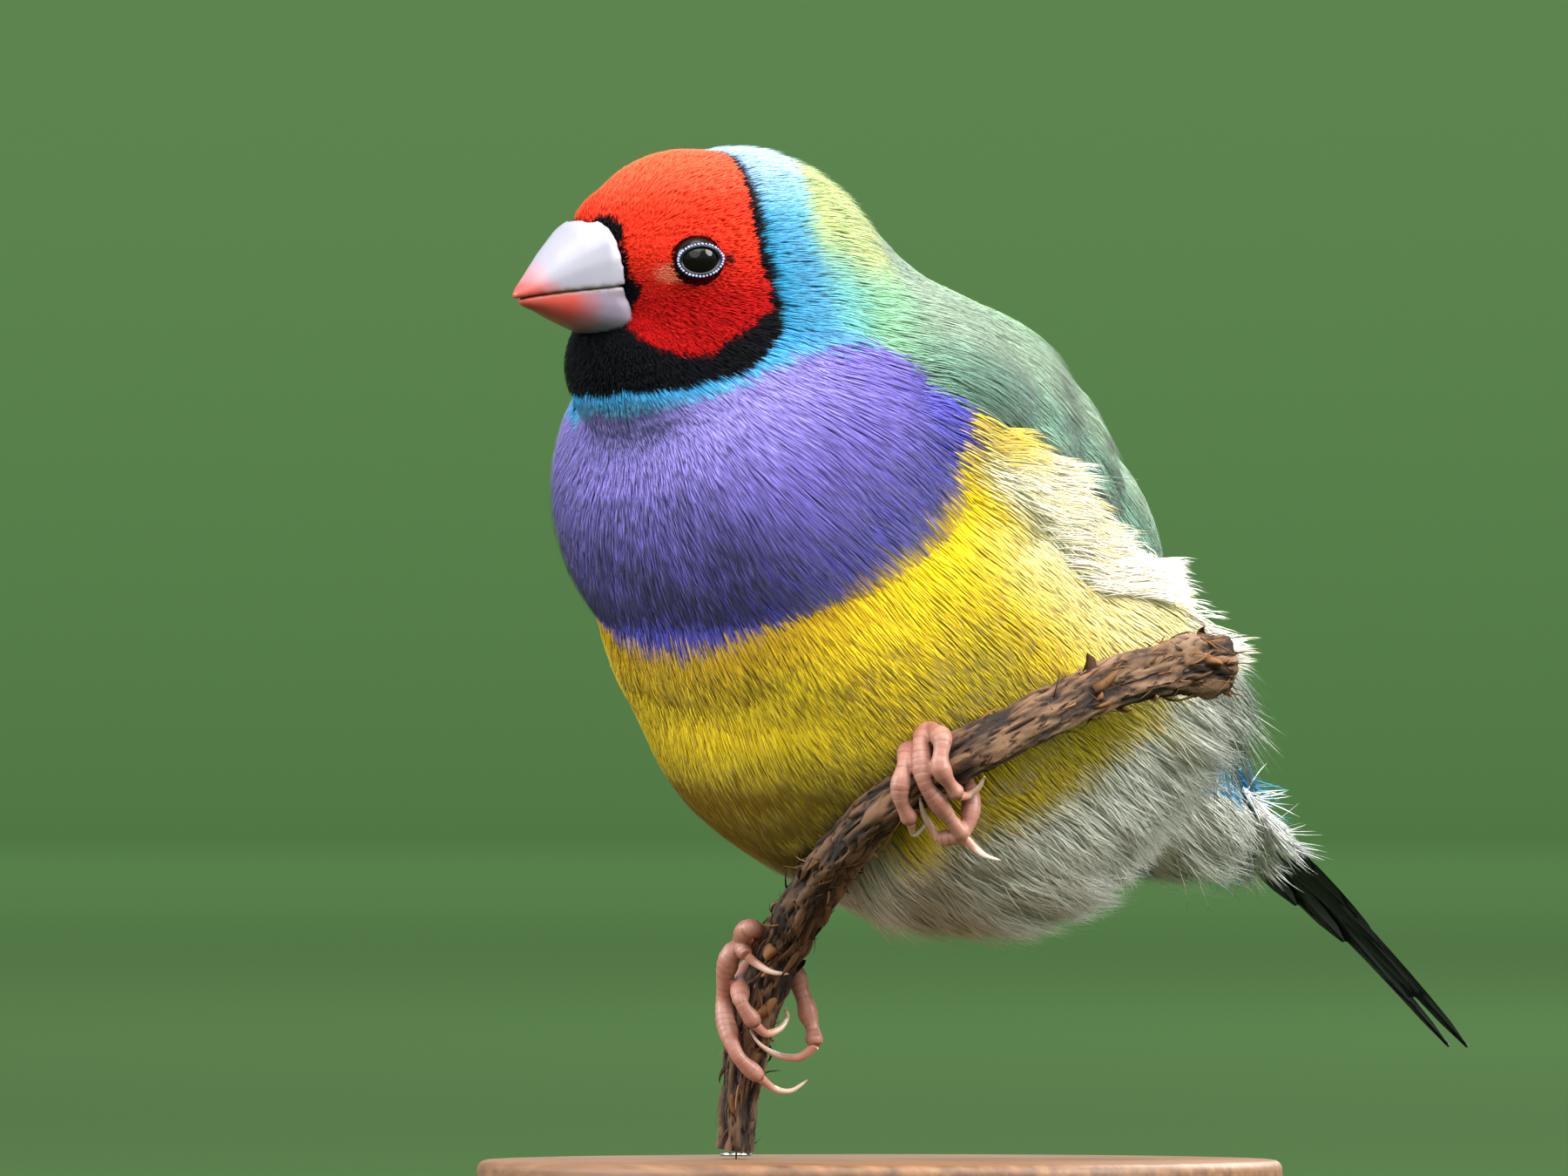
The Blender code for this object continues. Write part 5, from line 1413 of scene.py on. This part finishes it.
sweepSettings = {"halfWide": 3.0, "halfLong": 6.0, "wallTall": 2.5, "cove": 0.6}
cameraSettings = {"sensor": 36, "lens": 900, "away": 3.6, "near": 0.1, "far": 20}
skyStrength = 1.25
# across, away and up from the view's middle, then size, watts and colour
lamps = {
    "skyPanel": (0.15, -0.5, 1.3, 1.6, 32, (1.0, 0.99, 0.97)),
    "frontPanel": (-0.2, -1.6, 1.1, 1.8, 24, (1.0, 0.99, 0.97)),
    "rightPanel": (1.4, -0.5, 0.9, 1.0, 52, (1.0, 0.99, 0.96)),
    "leftPanel": (-1.4, -0.3, 0.6, 1.0, 32, (0.97, 0.98, 1.0)),
    "backPanel": (0.9, 1.3, 1.1, 1.0, 38, (0.98, 0.99, 1.0)),
}
viewCentre = toRow(viewPoint(0, 0, 0))


def sweepMaterial():  # matt green paper, paler where less of the lamps' light reaches
    material, tree, shader = newMaterial("mattPaperSweep")
    place = (addNode(tree, "TexCoord"), "Object")
    far = addNode(tree, "VectorMath", {0: place}, operation="LENGTH")
    fade = rangeNode(tree, (far, "Value"), 0.3, 5.0, interpolation_type="SMOOTHSTEP")
    apart = addNode(tree, "SeparateXYZ", {"Vector": place})
    lift = rangeNode(tree, (apart, "Z"), 0.0, 0.22, interpolation_type="SMOOTHSTEP")
    ground = addNode(tree, "MixRGB", {"Fac": fade, "Color1": "#2E4226", "Color2": "#60874F"})
    tone = addNode(tree, "MixRGB", {"Fac": lift, "Color1": ground, "Color2": "#6A9058"})
    setInputs(tree, shader, {"Base Color": tone, "Roughness": 1.0, "Specular IOR Level": 0.0})
    return material


def sweep():
    floor = modelled(bpy.ops.mesh.primitive_plane_add, "studioFloor", size=1)
    x, y = sweepSettings["halfWide"], sweepSettings["halfLong"]
    moveVertices(floor, np.array([(-x, -y, 0), (x, -y, 0), (-x, y, 0), (x, y, 0)]))
    pick(floor)
    bpy.ops.object.mode_set(mode="EDIT")
    bpy.ops.mesh.select_mode(type="EDGE")
    bpy.ops.mesh.select_all(action="DESELECT")
    bpy.ops.object.mode_set(mode="OBJECT")
    for edge in floor.data.edges:
        edge.select = all(floor.data.vertices[v].co.y > 1 for v in edge.vertices)
    bpy.ops.object.mode_set(mode="EDIT")
    bpy.ops.mesh.extrude_region_move(TRANSFORM_OT_translate={"value": (0, 0, sweepSettings["wallTall"])})
    bpy.ops.object.mode_set(mode="OBJECT")
    useModifier(floor, "BEVEL", width=sweepSettings["cove"], segments=12, limit_method="ANGLE")
    moveVertices(floor, inView(*verticesOf(floor).T).T)
    smoothShade(floor, 60)
    floor.data.materials.append(sweepMaterial())


def overcastWorld():  # bright overhead, dim below the horizon
    world = bpy.data.worlds.new("overcastSky")
    world.use_nodes = True
    tree = world.node_tree
    apart = addNode(tree, "SeparateXYZ", {"Vector": (addNode(tree, "TexCoord"), "Generated")})
    high = rangeNode(tree, (apart, "Z"), -1.0, 1.0)
    sky = rampOf(tree, high, [(0.0, "#0E140C"), (0.48, "#4A5548"), (0.56, "#A8B4B8"), (1.0, "#FAFCFF")])
    setInputs(tree, tree.nodes["Background"], {"Color": sky, "Strength": skyStrength})
    bpy.context.scene.world = world


def addLamp(name, across, away, up, size, energy, colour):
    light = bpy.data.lights.new(name, "AREA")
    light.shape = "DISK"
    light.size, light.energy, light.color = size, energy, colour
    lamp = newObject(name, light)
    lamp.location = viewCentre + inView(across, away, up)
    lamp.rotation_euler = (Vector(viewCentre) - lamp.location).to_track_quat("-Z", "Y").to_euler()


def addCamera():
    back = Vector((math.sin(viewAzimuth), -math.cos(viewAzimuth), 0))
    data = bpy.data.cameras.new("photoCamera")
    data.sensor_width, data.lens = cameraSettings["sensor"], cameraSettings["lens"]
    data.clip_start, data.clip_end = cameraSettings["near"], cameraSettings["far"]
    camera = newObject("photoCamera", data)
    camera.location = Vector(viewCentre) + back * cameraSettings["away"]
    camera.rotation_mode = "QUATERNION"
    camera.rotation_quaternion = (-back).to_track_quat("-Z", "Y")
    bpy.context.scene.camera = camera


sweep()
overcastWorld()
for name, values in lamps.items():
    addLamp(name, *values)
addCamera()
bpy.context.scene.view_settings.view_transform = "Standard"
print("studio ready")
